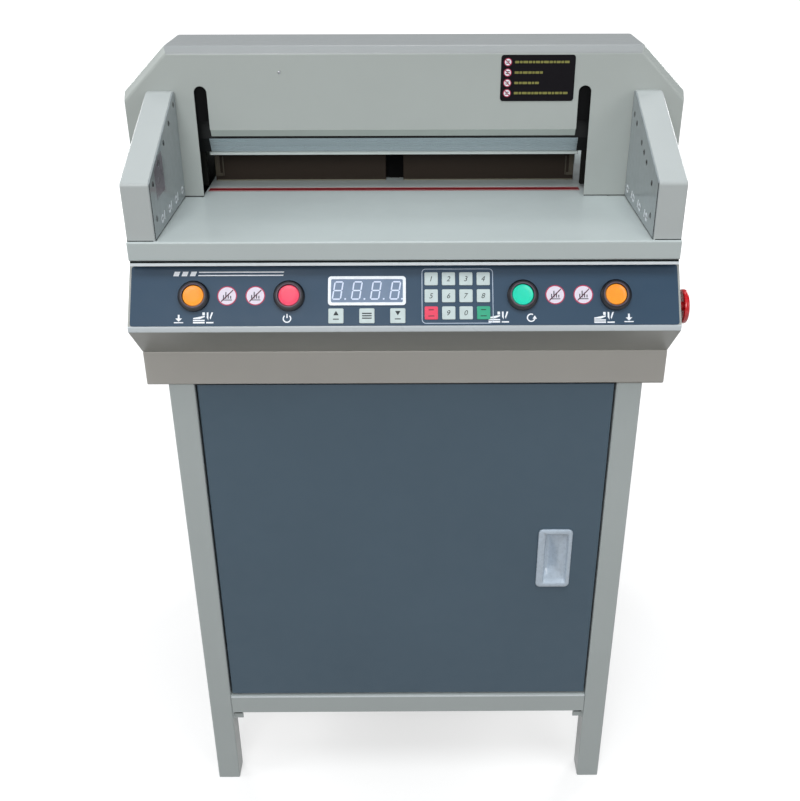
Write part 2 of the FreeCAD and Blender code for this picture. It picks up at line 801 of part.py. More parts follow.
def rocker_shaft():
    """Cross shaft with a crank arm and crank pin near each end."""
    shaft = rod(V(left_arm, shaft_y, shaft_z), X_AXIS, shaft_radius, right_arm + arm_thick - left_arm)
    tip_y = shaft_y - arm_level
    along = V(0, -arm_level, knife_drop / 2.0)
    across = V(0, along.z, -along.y)
    across.normalize()
    across.multiply(arm_radius)
    for x in (left_arm, right_arm):
        corners = [V(x, shaft_y, shaft_z) + across, V(x, shaft_y, shaft_z) - across,
                   V(x, tip_y, crank_z) - across, V(x, tip_y, crank_z) + across]
        web = solid_from(corners, V(arm_thick, 0, 0))
        shaft = shaft.fuse(web)
        shaft = shaft.fuse(rod(V(x, shaft_y, shaft_z), X_AXIS, hub_radius, arm_thick))
        shaft = shaft.fuse(rod(V(x, tip_y, crank_z), X_AXIS, arm_radius, arm_thick))
    pin_left = beam_left - MOVE
    pin_right = beam_right + knife_shift + MOVE
    shaft = shaft.fuse(rod(V(pin_left, tip_y, crank_z), X_AXIS, crank_pin, left_arm - pin_left))
    shaft = shaft.fuse(rod(V(right_arm + arm_thick, tip_y, crank_z), X_AXIS, crank_pin,
                           pin_right - right_arm - arm_thick))
    return shaft.removeSplitter()


def knife_gearmotor():
    """Worm gear case on the rocker shaft, with its motor behind it."""
    left = knife_motor_x - gear_case / 2.0
    floor = base_bottom + base_floor
    rear = shaft_y + gear_case_reach
    case = block(left, left + gear_case, shaft_y - gear_case_reach, rear, floor, shaft_z + gear_case_reach)
    case = case.makeFillet(gear_case_edge, [e for e in case.Edges if e.BoundBox.ZMin > floor + 1.0])
    centre_z = floor + knife_motor_radius + knife_motor_rise
    motor = rod(V(knife_motor_x, rear, centre_z), Y_AXIS, knife_motor_radius, knife_motor_length)
    cap = rod(V(knife_motor_x, rear + knife_motor_length, centre_z), Y_AXIS,
              knife_motor_radius - motor_cap_in, motor_cap)
    bore = rod(V(left - 1.0, shaft_y, shaft_z), X_AXIS, shaft_radius + RUN, gear_case + 2.0)
    return case.fuse(motor).fuse(cap).cut(bore)


# Clamp and its drive

def clamp_beam():
    bottom = clamp_open
    top = clamp_open + clamp_height
    foot = block(cut_centre - clamp_half, cut_centre + clamp_half, clamp_front,
                 clamp_front + clamp_thick, bottom, top)
    shoulder_half = opening_half - MOVE
    shoulder = block(cut_centre - shoulder_half, cut_centre + shoulder_half, clamp_front,
                     clamp_front + clamp_thick, bottom + clamp_height / 2.0, top)
    nut = rod(V(cut_centre, clamp_mid, bottom + nut_floor), Z_AXIS, clamp_screw_radius + RUN,
              clamp_height)
    return foot.fuse(shoulder).cut(nut).removeSplitter()


def clamp_screw():
    start = clamp_open + nut_floor + clamp_screw_gap
    end = drive_top + clamp_case_height - clamp_screw_cap
    return rod(V(cut_centre, clamp_mid, start), Z_AXIS, clamp_screw_radius, end - start)


def clamp_gearmotor():
    """Gear case over the clamp screw, with its motor lying along the upper beam."""
    right = cut_centre + clamp_case_half
    case = block(cut_centre - clamp_case_half, right, flange_rear + flange_gap,
                 flange_rear + upper_beam_depth - clamp_case_in, drive_top, drive_top + clamp_case_height)
    motor = rod(V(right, flange_rear + upper_beam_depth / 2.0, drive_top + clamp_case_height / 2.0),
                X_AXIS, clamp_motor_radius, clamp_motor_length)
    bore = rod(V(cut_centre, clamp_mid, drive_top), Z_AXIS, clamp_screw_radius + RUN,
               clamp_case_height - clamp_bore_cap)
    return case.fuse(motor).cut(bore)


# Back gauge and its drive

def back_gauge():
    rear_plate = gauge_front + gauge_plate
    gauge = block(cut_centre - gauge_half, cut_centre + gauge_half, gauge_front, rear_plate,
                  FIT, gauge_height)
    gauge = gauge.cut(block(cut_centre - gauge_notch / 2.0, cut_centre + gauge_notch / 2.0,
                            gauge_front, rear_plate, FIT, gauge_height))
    body = block(cut_centre - gauge_body_half, cut_centre + gauge_body_half, rear_plate, gauge_rear,
                 FIT, gauge_height - gauge_body_drop)
    post = block(cut_centre - gauge_slot / 2.0 + MOVE, cut_centre + gauge_slot / 2.0 - MOVE,
                 rear_plate + 2.0 * MOVE, gauge_rear, gauge_screw_z, FIT)
    nut = block(cut_centre - nut_size / 2.0, cut_centre + nut_size / 2.0,
                rear_plate + 2.0 * MOVE, gauge_rear, gauge_screw_z - nut_size / 2.0,
                gauge_screw_z + nut_size / 2.0)
    bore = rod(V(cut_centre, rear_plate, gauge_screw_z), Y_AXIS, gauge_screw_radius + RUN,
               gauge_body + 1.0)
    return gauge.fuse(body).fuse(post).fuse(nut).cut(bore).removeSplitter()


def gauge_screw():
    return rod(V(cut_centre, screw_front, gauge_screw_z), Y_AXIS, gauge_screw_radius,
               channel_rear - base_wall - screw_front)


def gauge_gearmotor():
    """Motor under the table at the front end of the gauge screw."""
    front = screw_front - gauge_motor_length
    rear = screw_front + gauge_motor_nose
    motor = rod(V(cut_centre, front, gauge_screw_z), Y_AXIS, gauge_motor_radius, rear - front)
    pad = block(cut_centre - gauge_pad_half, cut_centre + gauge_pad_half, front + gauge_pad_in, rear,
                gauge_screw_z, table_under)
    bore = rod(V(cut_centre, screw_front - 1.0, gauge_screw_z), Y_AXIS, gauge_screw_radius + RUN,
               rear - screw_front + 2.0)
    return motor.fuse(pad).cut(bore).removeSplitter()


# Power inlet on its plate, over a window in the base's rear wall

def inlet_block(grow, y0, y1):
    """Box about the inlet's axis, grown by a margin on its four sides."""
    half_width = inlet_width / 2.0 + grow
    half_height = inlet_height / 2.0 + grow
    return block(inlet_x - half_width, inlet_x + half_width, y0, y1,
                 inlet_z - half_height, inlet_z + half_height)


def plate_block(shrink, y0, y1):
    """Box about the inlet's axis, as large as its plate less a margin on the four sides."""
    half_width = inlet_plate_half - shrink
    half_height = inlet_plate_rise - shrink
    return block(inlet_x - half_width, inlet_x + half_width, y0, y1,
                 inlet_z - half_height, inlet_z + half_height)


def inlet_plate():
    return plate_block(0, base_rear, inlet_face).cut(inlet_block(FIT, base_rear - 1.0, inlet_face + 1.0))


def power_inlet():
    face = inlet_face + inlet_rim_thick
    body = inlet_block(0, inlet_face - inlet_depth, face).fuse(inlet_block(inlet_rim, inlet_face, face))
    floor = inlet_face - inlet_depth + inlet_floor
    body = body.cut(inlet_block(-inlet_wall, floor, face + 1.0))
    for x, z in ((-contact_reach, -contact_low), (contact_reach, -contact_low), (0, contact_high)):
        body = body.fuse(block(inlet_x + x - contact_thick / 2.0, inlet_x + x + contact_thick / 2.0,
                               floor - 1.0, inlet_face - contact_in, inlet_z + z - contact_width / 2.0,
                               inlet_z + z + contact_width / 2.0))
    return body


# Control housing and what is on it

def housing_outline():
    return [
        (-panel_lip_reach, panel_low - panel_lip), (tray_front, base_bottom), (base_front, base_bottom),
        (face_top_y, face_top_z), (-panel_lip_reach, panel_low),
    ]


button_places = {
    "cut_button_left": -cut_button_reach,
    "power_button": power_x,
    "reset_button": reset_x,
    "cut_button_right": cut_button_reach,
}


def key_places():
    """Every key as name, x, distance down the overlay and size."""
    keys = []
    names = ["1", "2", "3", "4", "5", "6", "7", "8", "clear", "9", "0", "enter"]
    for i, name in enumerate(names):
        column = i % 4 - 1.5
        row = i // 4 - 1
        keys.append(("pad_key_" + name, pad_x + column * key_pitch, pad_row + row * key_pitch, key_size))
    for i, name in enumerate(("up", "mode", "down")):
        keys.append(("pad_key_" + name, display_x + (i - 1) * menu_pitch, menu_row, menu_key))
    return keys


glass_width = display_width - 2.0 * display_frame
glass_height = display_height - 2.0 * display_frame


def panel_holes(z0, z1):
    """What passes through the sloping face, between two levels along its normal."""
    holes = []
    for x in button_places.values():
        holes.append(on_panel(rod(V(0, 0, z0), Z_AXIS, button_radius + FIT + bezel_wall + FIT / 2.0,
                                  z1 - z0), x, button_row))
    window = rounded_plate(glass_width + FIT, glass_height + FIT, glass_round + FIT / 2.0, z0, z1)
    holes.append(on_panel(window, display_x, display_row))
    for name, x, down, size in key_places():
        hole = rounded_plate(size + FIT, size + FIT, key_round + FIT / 2.0, z0, z1)
        holes.append(on_panel(hole, x, down))
    return Part.makeCompound(holes)


def control_housing():
    outline = housing_outline()
    outer = prism_x(outline, -panel_half, panel_half)
    lip_edges = []
    for edge in outer.Edges:
        box = edge.BoundBox
        on_lip = box.YMax < -panel_lip_reach + 0.01 and edge.Length > panel_half
        if on_lip:
            lip_edges.append(edge)
    outer = outer.makeFillet(panel_round, lip_edges)
    hollow = inset_polygon(outline, [panel_wall, panel_wall, 0, panel_wall, panel_wall])
    hollow = [(min(y, base_front), z) for y, z in hollow]
    hollow = prism_x(hollow, -panel_half + panel_wall, panel_half - panel_wall)
    stem_way = rod(V(panel_half - 2.0 * panel_wall, stop_y, stop_z), X_AXIS, stop_stem + stop_way,
                   3.0 * panel_wall)
    return outer.cut(hollow).cut(panel_holes(-panel_wall - 1.0, 1.0)).cut(stem_way)


def control_overlay():
    plate = rounded_plate(2.0 * overlay_half, overlay_height, overlay_round, 0, overlay_thick)
    plate = on_panel(plate, 0, overlay_height / 2.0)
    return plate.cut(panel_holes(-1.0, overlay_thick + 1.0))


def display_module():
    """Display with its raised frame, on the board that also backs the keys."""
    top = overlay_thick + display_proud
    neck = rounded_plate(glass_width, glass_height, glass_round, -panel_wall, top)
    flange = rounded_plate(display_width, display_height, display_round, overlay_thick, top)
    recess = rounded_plate(glass_width, glass_height, glass_round, top - glass_deep, top + 1.0)
    module = on_panel(neck.fuse(flange).cut(recess), display_x, display_row)
    board_left = display_x - display_width / 2.0 - board_over
    board_right = pad_x + 2.0 * key_pitch + board_over
    board = block(board_left, board_right, board_in - overlay_height, -board_in,
                  -panel_wall - board_thick, -panel_wall)
    return module.fuse(on_panel(board, 0, 0))


def button_bezels():
    rings = []
    inner = button_radius + FIT
    neck = inner + bezel_wall
    for x in button_places.values():
        rim = ring(V(0, 0, overlay_thick), Z_AXIS, bezel_radius, inner, bezel_height)
        outer_edges = [e for e in rim.Edges if abs(e.BoundBox.XMax - bezel_radius) < 1e-3
                       and e.BoundBox.ZMin > overlay_thick + 1.0]
        rim = rim.makeChamfer(bezel_slope, outer_edges)
        barrel = ring(V(0, 0, -bezel_depth), Z_AXIS, neck, inner, bezel_depth + overlay_thick)
        rings.append(on_panel(rim.fuse(barrel).removeSplitter(), x, button_row))
    return Part.makeCompound(rings)


def push_button(x):
    foot = -bezel_depth + button_travel + button_spare
    cap = rod(V(0, 0, foot), Z_AXIS, button_radius, overlay_thick + button_proud - foot)
    crown = [e for e in cap.Edges if e.BoundBox.ZMin > button_proud - 1.0]
    return on_panel(cap.makeFillet(button_round, crown), x, button_row)


def pad_key(x, down, size):
    cap = rounded_plate(size, size, key_round, -key_depth, overlay_thick + key_proud)
    return on_panel(cap, x, down)


# Emergency stop on the housing's right end

def estop_collar():
    return ring(V(panel_half, stop_y, stop_z), X_AXIS, stop_collar_radius, stop_stem + RUN, stop_collar)


def stop_seat():
    return panel_half + stop_collar + stop_travel + MOVE


def estop_stem():
    inside = panel_half - stop_stem_in
    return rod(V(inside, stop_y, stop_z), X_AXIS, stop_stem, stop_seat() - inside)


def estop_knob():
    knob = rod(V(stop_seat(), stop_y, stop_z), X_AXIS, stop_knob_radius, stop_knob)
    front = [e for e in knob.Edges if e.BoundBox.XMin > stop_seat() + 1.0]
    return knob.makeFillet(stop_round, front)


# Stand

def stand_leg(side, y0):
    x0 = side * stand_half - (leg if side > 0 else 0)
    floor = -table_height
    top = tray_top - tray_plate
    tube = block(x0, x0 + leg, y0, y0 + leg, floor, top)
    tube = tube.makeFillet(leg_round, [e for e in tube.Edges if e.Length > 2.0 * leg])
    return tube.cut(block(x0 + leg_wall, x0 + leg - leg_wall, y0 + leg_wall, y0 + leg - leg_wall,
                          floor + leg_foot, top))


def stand_top_tray():
    """Plate with a deep rim, and a ledge behind the front rim for the door's upper pin."""
    tray = block(-tray_half, tray_half, tray_front, tray_rear, tray_bottom, tray_top)
    tray = tray.cut(block(-tray_half + sheet, tray_half - sheet, tray_front + sheet, tray_rear - sheet,
                          tray_bottom, tray_top - tray_plate))
    inner = stand_inner - FIT
    ledge = block(-inner, inner, tray_front + sheet, door_rear, tray_bottom, tray_bottom + sheet)
    pin = rod(V(hinge_x, hinge_y, tray_bottom - 1.0), Z_AXIS, hinge_pin, sheet + 2.0)
    return tray.fuse(ledge).cut(pin).removeSplitter()


def stand_bottom_shelf():
    """Shelf with a rim between the legs, and an angle tab under each front corner."""
    half = stand_inner
    rear = leg_rear + leg
    low = shelf_top - rail_height
    shelf = block(-half, half, leg_front, rear, low, shelf_top)
    shelf = shelf.cut(block(-half + sheet, half - sheet, leg_front + sheet, rear - sheet,
                            low, shelf_top - sheet))
    for side in (-1, 1):
        x0 = side * half - (tab_size if side > 0 else 0)
        web = side * half - (sheet if side > 0 else 0)
        face_y = leg_front + 2.0 * sheet
        shelf = shelf.fuse(block(x0, x0 + tab_size, face_y, face_y + sheet, low - tab_size, low + sheet))
        shelf = shelf.fuse(block(web, web + sheet, leg_front + sheet, face_y + tab_size,
                                 low - tab_size, low + sheet))
        shelf = shelf.fuse(block(x0, x0 + tab_size, leg_front, face_y + sheet, low, low + sheet))
    pin = rod(V(hinge_x, hinge_y, shelf_top - sheet - 1.0), Z_AXIS, hinge_pin, sheet + 2.0)
    return shelf.cut(pin).removeSplitter()


def cabinet_shell():
    """Sides and back of the cabinet, folded from one sheet."""
    half = stand_inner
    rear = leg_rear
    wrap = block(-half, half, shell_front, rear, shelf_top, tray_bottom)
    wrap = wrap.cut(block(-half + sheet, half - sheet, shell_front, rear - sheet, shelf_top, tray_bottom))
    top = block(-half, half, shell_front, rear, tray_bottom, tray_top - tray_plate)
    top = top.cut(block(-half + sheet, half - sheet, shell_front, rear - sheet, tray_bottom,
                        tray_top - tray_plate))
    return wrap.fuse(top).removeSplitter()


def hinge_bore(slack):
    """The two pin holes, as long as the door's knuckles."""
    low = rod(V(hinge_x, hinge_y, door_bottom - 1.0), Z_AXIS, hinge_pin + slack, knuckle_length)
    high = rod(V(hinge_x, hinge_y, door_top + 1.0 - knuckle_length), Z_AXIS, hinge_pin + slack,
               knuckle_length)
    return low.fuse(high)


def cabinet_door():
    """Folded sheet door with a knuckle for each hinge pin and a hole for the pull."""
    door = block(-door_half, door_half, door_front, door_rear, door_bottom, door_top)
    door = door.cut(block(-door_half + door_skin, door_half - door_skin, door_front + door_skin,
                          door_rear, door_bottom + door_skin, door_top - door_skin))
    for z in (door_bottom, door_top - knuckle_length):
        door = door.fuse(rod(V(hinge_x, hinge_y, z), Z_AXIS, knuckle_radius, knuckle_length))
    pull = block(handle_x - handle_width / 2.0 + handle_lip - FIT,
                 handle_x + handle_width / 2.0 - handle_lip + FIT, door_front - 1.0,
                 door_front + door_skin + 1.0, handle_z - handle_height / 2.0 + handle_lip - FIT,
                 handle_z + handle_height / 2.0 - handle_lip + FIT)
    return door.cut(hinge_bore(RUN)).cut(pull).removeSplitter()


def door_hinge_pins():
    low_start = shelf_top - sheet
    low_end = door_bottom + knuckle_length - knuckle_cap
    low = rod(V(hinge_x, hinge_y, low_start), Z_AXIS, hinge_pin, low_end - low_start)
    high_start = door_top - knuckle_length + knuckle_cap
    high = rod(V(hinge_x, hinge_y, high_start), Z_AXIS, hinge_pin, tray_bottom + sheet - high_start)
    return Part.makeCompound([low, high])


def door_handle():
    """Flush pull: a rim on the door's face round an open pocket."""
    def cup(width, height, radius, y0, y1):
        body = rounded_plate(width, height, radius, 0, y1 - y0)
        body.rotate(ORIGIN, X_AXIS, 90.0)
        body.translate(V(handle_x, y1, handle_z))
        return body
    rim = cup(handle_width, handle_height, handle_round, door_front - handle_lip, door_front)
    shell = cup(handle_width - 2.0 * handle_lip, handle_height - 2.0 * handle_lip, handle_cup_round,
                door_front, door_front + handle_depth)
    pocket_wall = handle_lip + handle_wall
    pocket = cup(handle_width - 2.0 * pocket_wall, handle_height - 2.0 * pocket_wall,
                 handle_pocket_round, door_front - handle_lip - 1.0,
                 door_front + handle_depth - handle_wall)
    return rim.fuse(shell).cut(pocket).removeSplitter()


# Write every piece

save("work_table", work_table())
save("cutting_stick", cutting_stick())
save("head_front_cover", head_front_cover())
save("head_rear_cover", head_rear_cover())
save("side_guard_right", side_guard())
save("side_guard_left", mirrored(side_guard()))
save("sensor_plates", sensor_plates())
save("rear_side_lays", rear_side_lays())
save("machine_base", machine_base())
save("bearing_posts", bearing_posts())
save("gauge_channel", gauge_channel())
save("side_frame_left", side_frame(-1))
save("side_frame_right", side_frame(1))
save("frame_fasteners", frame_fasteners())
save("upper_beam", upper_beam())
save("knife_beam", knife_beam())
save("knife_blade", knife_blade())
save("rocker_shaft", rocker_shaft())
save("knife_gearmotor", knife_gearmotor())
save("clamp_beam", clamp_beam())
save("clamp_screw", clamp_screw())
save("clamp_gearmotor", clamp_gearmotor())
save("back_gauge", back_gauge())
save("gauge_screw", gauge_screw())
save("gauge_gearmotor", gauge_gearmotor())
save("inlet_plate", inlet_plate())
save("power_inlet", power_inlet())
save("control_housing", control_housing())
save("control_overlay", control_overlay())
save("display_module", display_module())
save("button_bezels", button_bezels())
for button, place in button_places.items():
    save(button, push_button(place))
for key, place, down, size in key_places():
    save(key, pad_key(place, down, size))
save("estop_collar", estop_collar())
save("estop_stem", estop_stem())
save("estop_knob", estop_knob())
save("stand_legs", Part.makeCompound([stand_leg(side, y) for side in (-1, 1) for y in (leg_front, leg_rear)]))
save("stand_top_tray", stand_top_tray())
save("stand_bottom_shelf", stand_bottom_shelf())
save("cabinet_shell", cabinet_shell())
save("cabinet_door", cabinet_door())
save("door_hinge_pins", door_hinge_pins())
save("door_handle", door_handle())
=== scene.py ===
import json
import math

import bmesh
import bpy
import numpy as np
from mathutils import Matrix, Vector
from mathutils.bvhtree import BVHTree

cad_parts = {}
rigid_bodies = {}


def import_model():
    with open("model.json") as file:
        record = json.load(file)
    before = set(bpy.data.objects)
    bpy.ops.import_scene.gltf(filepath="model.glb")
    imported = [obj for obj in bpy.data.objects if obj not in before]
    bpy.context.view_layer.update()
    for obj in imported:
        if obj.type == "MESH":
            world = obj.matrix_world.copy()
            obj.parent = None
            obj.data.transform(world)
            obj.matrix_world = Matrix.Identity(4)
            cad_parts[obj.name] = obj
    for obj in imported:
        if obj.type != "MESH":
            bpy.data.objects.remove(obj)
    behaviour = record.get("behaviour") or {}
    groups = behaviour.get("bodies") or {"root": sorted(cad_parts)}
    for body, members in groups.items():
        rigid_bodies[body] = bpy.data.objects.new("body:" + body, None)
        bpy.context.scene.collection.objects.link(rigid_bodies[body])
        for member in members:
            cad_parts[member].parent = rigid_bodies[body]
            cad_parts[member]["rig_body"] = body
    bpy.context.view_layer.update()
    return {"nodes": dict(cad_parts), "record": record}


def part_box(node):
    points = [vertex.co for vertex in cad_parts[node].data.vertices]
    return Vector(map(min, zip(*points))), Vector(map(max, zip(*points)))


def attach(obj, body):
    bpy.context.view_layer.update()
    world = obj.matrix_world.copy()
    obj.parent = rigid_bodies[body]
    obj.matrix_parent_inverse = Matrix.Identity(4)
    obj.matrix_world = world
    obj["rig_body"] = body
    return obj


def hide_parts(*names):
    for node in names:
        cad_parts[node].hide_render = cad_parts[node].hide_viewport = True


# Electric paper cutter on a cabinet stand. Sizes here are in millimetres about the middle of
# the table's front edge, on its top face; AT moves them to the floor frame, in metres.

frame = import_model()
NODES = frame["nodes"]
AT = np.array([0.0, -0.339, 0.826])

# Paints and finishes


def srgb(r, g, b):
    """Colour of 0 to 255 screen values, as linear light."""
    c = np.array([r, g, b]) / 255.0
    linear = np.where(c > 0.04045, ((c + 0.055) / 1.055) ** 2.4, c / 12.92)
    return (*linear.tolist(), 1.0)


class Nodes:
    """A node tree, with short ways to add to it."""

    def __init__(self, tree):
        self.tree = tree

    def node(self, kind, **settings):
        made = self.tree.nodes.new(kind)
        for key, value in settings.items():
            setattr(made, key, value)
        return made

    def link(self, a, b):
        self.tree.links.new(a, b)

    def larger(self, first, second):
        made = self.node("ShaderNodeMath", operation="MAXIMUM")
        self.link(first, made.inputs[0])
        self.link(second, made.inputs[1])
        return made.outputs[0]


# Materials by name; those that have a slot's name dress it
M = {}


class Finish(Nodes):
    """A material's nodes, with the ones that the finishes here are made of."""

    def __init__(self, name):
        self.material = M[name] = bpy.data.materials.new(name)
        self.material.use_nodes = True
        super().__init__(self.material.node_tree)
        self.shader = self.tree.nodes["Principled BSDF"]
        self.place = self.node("ShaderNodeTexCoord").outputs["Object"]

    def stretched(self, scale):
        mapping = self.node("ShaderNodeMapping")
        mapping.inputs["Scale"].default_value = scale
        self.link(self.place, mapping.inputs["Vector"])
        return mapping.outputs["Vector"]

    def noise(self, scale, detail=2.0, roughness=0.5, vector=None):
        made = self.node("ShaderNodeTexNoise")
        made.inputs["Scale"].default_value = scale
        made.inputs["Detail"].default_value = detail
        made.inputs["Roughness"].default_value = roughness
        self.link(vector or self.place, made.inputs["Vector"])
        return made.outputs["Fac"]

    def between(self, value, low, high, to_low, to_high):
        made = self.node("ShaderNodeMapRange")
        made.inputs["From Min"].default_value = low
        made.inputs["From Max"].default_value = high
        made.inputs["To Min"].default_value = to_low
        made.inputs["To Max"].default_value = to_high
        self.link(value, made.inputs["Value"])
        return made.outputs["Result"]

    def blend(self, factor, first, second):
        made = self.node("ShaderNodeMix", data_type="RGBA")
        self.link(factor, made.inputs["Factor"])
        for socket, colour in ((made.inputs["A"], first), (made.inputs["B"], second)):
            if isinstance(colour, tuple):
                socket.default_value = colour
            else:
                self.link(colour, socket)
        return made.outputs["Result"]

    def bump(self, height, strength, distance, normal=None):
        made = self.node("ShaderNodeBump")
        made.inputs["Strength"].default_value = strength
        made.inputs["Distance"].default_value = distance
        self.link(height, made.inputs["Height"])
        if normal:
            self.link(normal, made.inputs["Normal"])
        return made.outputs["Normal"]

    def feed(self, socket, output):
        self.link(output, self.shader.inputs[socket])

    def fixed(self, socket, value):
        self.shader.inputs[socket].default_value = value

    def toned(self, value, colour, dark, light, low=0.3, high=0.7):
        """Base colour that goes from one shade of a colour to another with a noise value."""
        share = self.between(value, low, high, 0.0, 1.0)
        self.feed("Base Color", self.blend(share, shaded(colour, dark), shaded(colour, light)))

    def roughened(self, value, least, most, low=0.3, high=0.7):
        self.feed("Roughness", self.between(value, low, high, least, most))


def shaded(colour, factor):
    """Linear light of a screen colour, made darker or lighter."""
    return (*[min(1.0, v * factor) for v in srgb(*colour)[:3]], 1.0)


def paint(name, colour, rough=0.34, grain=0.2, mottle=0.02, cloud=9.0, gloss=0.45):
    """Stoved paint: a fine orange peel, faint clouds of tone and of gloss."""
    f = Finish(name)
    f.toned(f.noise(cloud, 3.0, 0.6), colour, 1 - mottle, 1 + mottle)
    f.roughened(f.noise(60.0, 2.0), rough - 0.04, rough + 0.05)
    peel = f.bump(f.noise(700.0, 2.0), grain, 0.00012)
    f.feed("Normal", f.bump(f.noise(30.0, 1.0), grain * 0.2, 0.0003, peel))
    f.fixed("Specular IOR Level", gloss)
    return f.material


def metal(name, colour, rough=0.3, along=0, lines=900.0, depth=0.25, metallic=1.0):
    """Ground or turned metal: fine lines along one axis, with gloss that varies between them."""
    f = Finish(name)
    scale = [lines] * 3
    scale[along] = 4.0
    grooves = f.noise(1.0, 3.0, 0.65, f.stretched(scale))
    broad = f.noise(1.0, 2.0, 0.5, f.stretched([s * 0.08 for s in scale]))
    f.toned(broad, colour, 0.9, 1.08)
    f.roughened(grooves, rough - 0.07, rough + 0.1, 0.25, 0.75)
    f.feed("Normal", f.bump(grooves, depth, 0.00008))
    f.fixed("Metallic", metallic)
    return f.material


def cast(name, colour, rough=0.5, metallic=0.7, gloss=0.5):
    """Cast case: a coarse skin with soft patches."""
    f = Finish(name)
    skin = f.noise(420.0, 3.0, 0.6)
    f.toned(f.noise(25.0, 3.0), colour, 0.88, 1.1)
    f.roughened(skin, rough - 0.06, rough + 0.08)
    f.feed("Normal", f.bump(skin, 0.5, 0.0003))
    f.fixed("Metallic", metallic)
    f.fixed("Specular IOR Level", gloss)
    return f.material


def plastic(name, colour, rough=0.3, grain=0.12, glow=0.0, inside=0.0, coat=0.0):
    """Moulded plastic: a faint spark texture; glow and inside are for lit or milky caps."""
    f = Finish(name)
    f.toned(f.noise(120.0, 2.0), colour, 0.96, 1.04)
    f.roughened(f.noise(260.0, 2.0), rough - 0.04, rough + 0.06)
    f.feed("Normal", f.bump(f.noise(1500.0, 1.0), grain, 0.00006))
    if glow:
        f.fixed("Emission Color", srgb(*colour))
        f.fixed("Emission Strength", glow)
    if inside:
        f.fixed("Subsurface Weight", inside)
        f.fixed("Subsurface Scale", 0.002)
    if coat:
        f.fixed("Coat Weight", coat)
        f.fixed("Coat Roughness", 0.12)
    return f.material


def print_ink(name, colour, rough=0.45, gloss=0.35):
    """Screen-printed ink: nearly even, with slight thin places."""
    f = Finish(name)
    f.toned(f.noise(900.0, 2.0), colour, 0.95, 1.02, 0.35, 0.65)
    f.roughened(f.noise(300.0, 2.0), rough - 0.05, rough + 0.05)
    f.feed("Normal", f.bump(f.noise(1200.0, 1.0), 0.1, 0.00004))
    f.fixed("Specular IOR Level", gloss)
    return f.material


# The machine's one grey paint, in a copy for each part, each toned to how brightly that part is lit: the
# differences between the copies are painted light and shade, most of all the table's lighter tone on its top
paint("head_paint", (168, 174, 171))
paint("guard_paint", (178, 184, 184))
paint("body_paint", (166, 168, 164))
paint("table_paint", (184, 193, 193), 0.34, 0.1, 0.012)
paint("tray_paint", (174, 172, 167))
paint("leg_paint", (178, 186, 186))
paint("slate_paint", (80, 98, 112), 0.5, 0.4, 0.04, 5.0, 0.3)
plastic("sensor_plate", (150, 158, 161), 0.14, 0.02)
cast("frame_iron", (28, 29, 27), 0.7, 0.0, 0.1)
metal("dark_steel", (60, 60, 62), 0.42)
metal("bright_steel", (190, 192, 196), 0.25, 2)
metal("screw_steel", (190, 192, 196), 0.28, 1)
metal("blade_steel", (25, 27, 28), 0.5, metallic=0.4)
# Near black: painted shade where the carrier shows through the head's slots
cast("knife_carrier", (13, 13, 14), 0.6, 0.0, 0.08)
metal("clamp_metal", (222, 232, 229), 0.34, metallic=0.25)
# Dark brown: painted shade on the gauge deep inside the opening
paint("gauge_metal", (50, 43, 37), 0.5, gloss=0.1)
cast("motor_case", (96, 98, 102))
plastic("stick_red", (126, 18, 28), 0.5, 0.4)
plastic("black_plastic", (9, 10, 20), 0.42)
paint("overlay_film", (48, 71, 92), 0.42, 0.3, 0.03, 6.0, 0.35)
plastic("display_white", (236, 242, 248), 0.25)
plastic("button_orange", (246, 150, 40), 0.34, glow=0.1, inside=0.3)
plastic("button_red", (232, 72, 102), 0.34, glow=0.1, inside=0.3)
plastic("button_green", (22, 205, 172), 0.34, glow=0.1, inside=0.3)
plastic("key_grey", (190, 204, 204), 0.42)
plastic("key_red", (226, 60, 92), 0.42)
plastic("key_green", (40, 160, 124), 0.42)
plastic("stop_red", (192, 16, 26), 0.25, coat=0.4)
plastic("stop_collar", (170, 22, 28), 0.45)
plastic("pull_plastic", (184, 198, 212), 0.28, coat=0.4)
RIM_GREY = plastic("rim_grey", (84, 72, 84), 0.4)
GLASS = plastic("display_glass", (118, 136, 160), 0.16, 0.02, coat=0.6)
SEGMENTS = print_ink("segment_pale", (214, 224, 246))
WHITE_INK = print_ink("white_ink", (236, 240, 246))
DISC_INK = print_ink("disc_ink", (222, 214, 228))
SLASH_INK = print_ink("slash_ink", (86, 44, 66))
# Pale paint for the gauge's foot: painted highlight where light reaches it
GAUGE_FOOT_HIGHLIGHT = paint("gauge_foot_highlight", (122, 120, 104), 0.5)
PALE_INK = print_ink("pale_ink", (176, 190, 208))
RED_INK = print_ink("red_ink", (178, 46, 84))
DARK_INK = print_ink("dark_ink", (34, 42, 46))
OLIVE_INK = print_ink("olive_ink", (128, 126, 66))
LABEL_BLACK = print_ink("label_black", (20, 18, 22), 0.55, 0.08)
# Dark lens plastic, also used as painted shade in the sunk crosses of screws
DARK_LENS_AND_RECESS_SHADE = plastic("dark_lens_and_recess_shade", (14, 16, 20), 0.14, 0.02, coat=0.6)
CLEAR_TINT = paint("label_tint", (122, 118, 126), 0.25, 0.05)
GROUND_STEEL = metal("ground_steel", (186, 198, 204), 0.28, metallic=0.75)
# A copy of the head's paint toned for how the lip is lit: painted shade
LIP_PAINTED_SHADE = paint("lip_painted_shade", (170, 179, 174))
# Near-white paint: painted highlight on the housing's top ledge and the rail's top edge
PAINTED_HIGHLIGHT = paint("painted_highlight", (226, 233, 237), 0.26, 0.1)
# Pale paint: painted highlight on the housing's lower lip
LOWER_PAINTED_HIGHLIGHT = paint("lower_painted_highlight", (204, 212, 217), 0.3, 0.1)
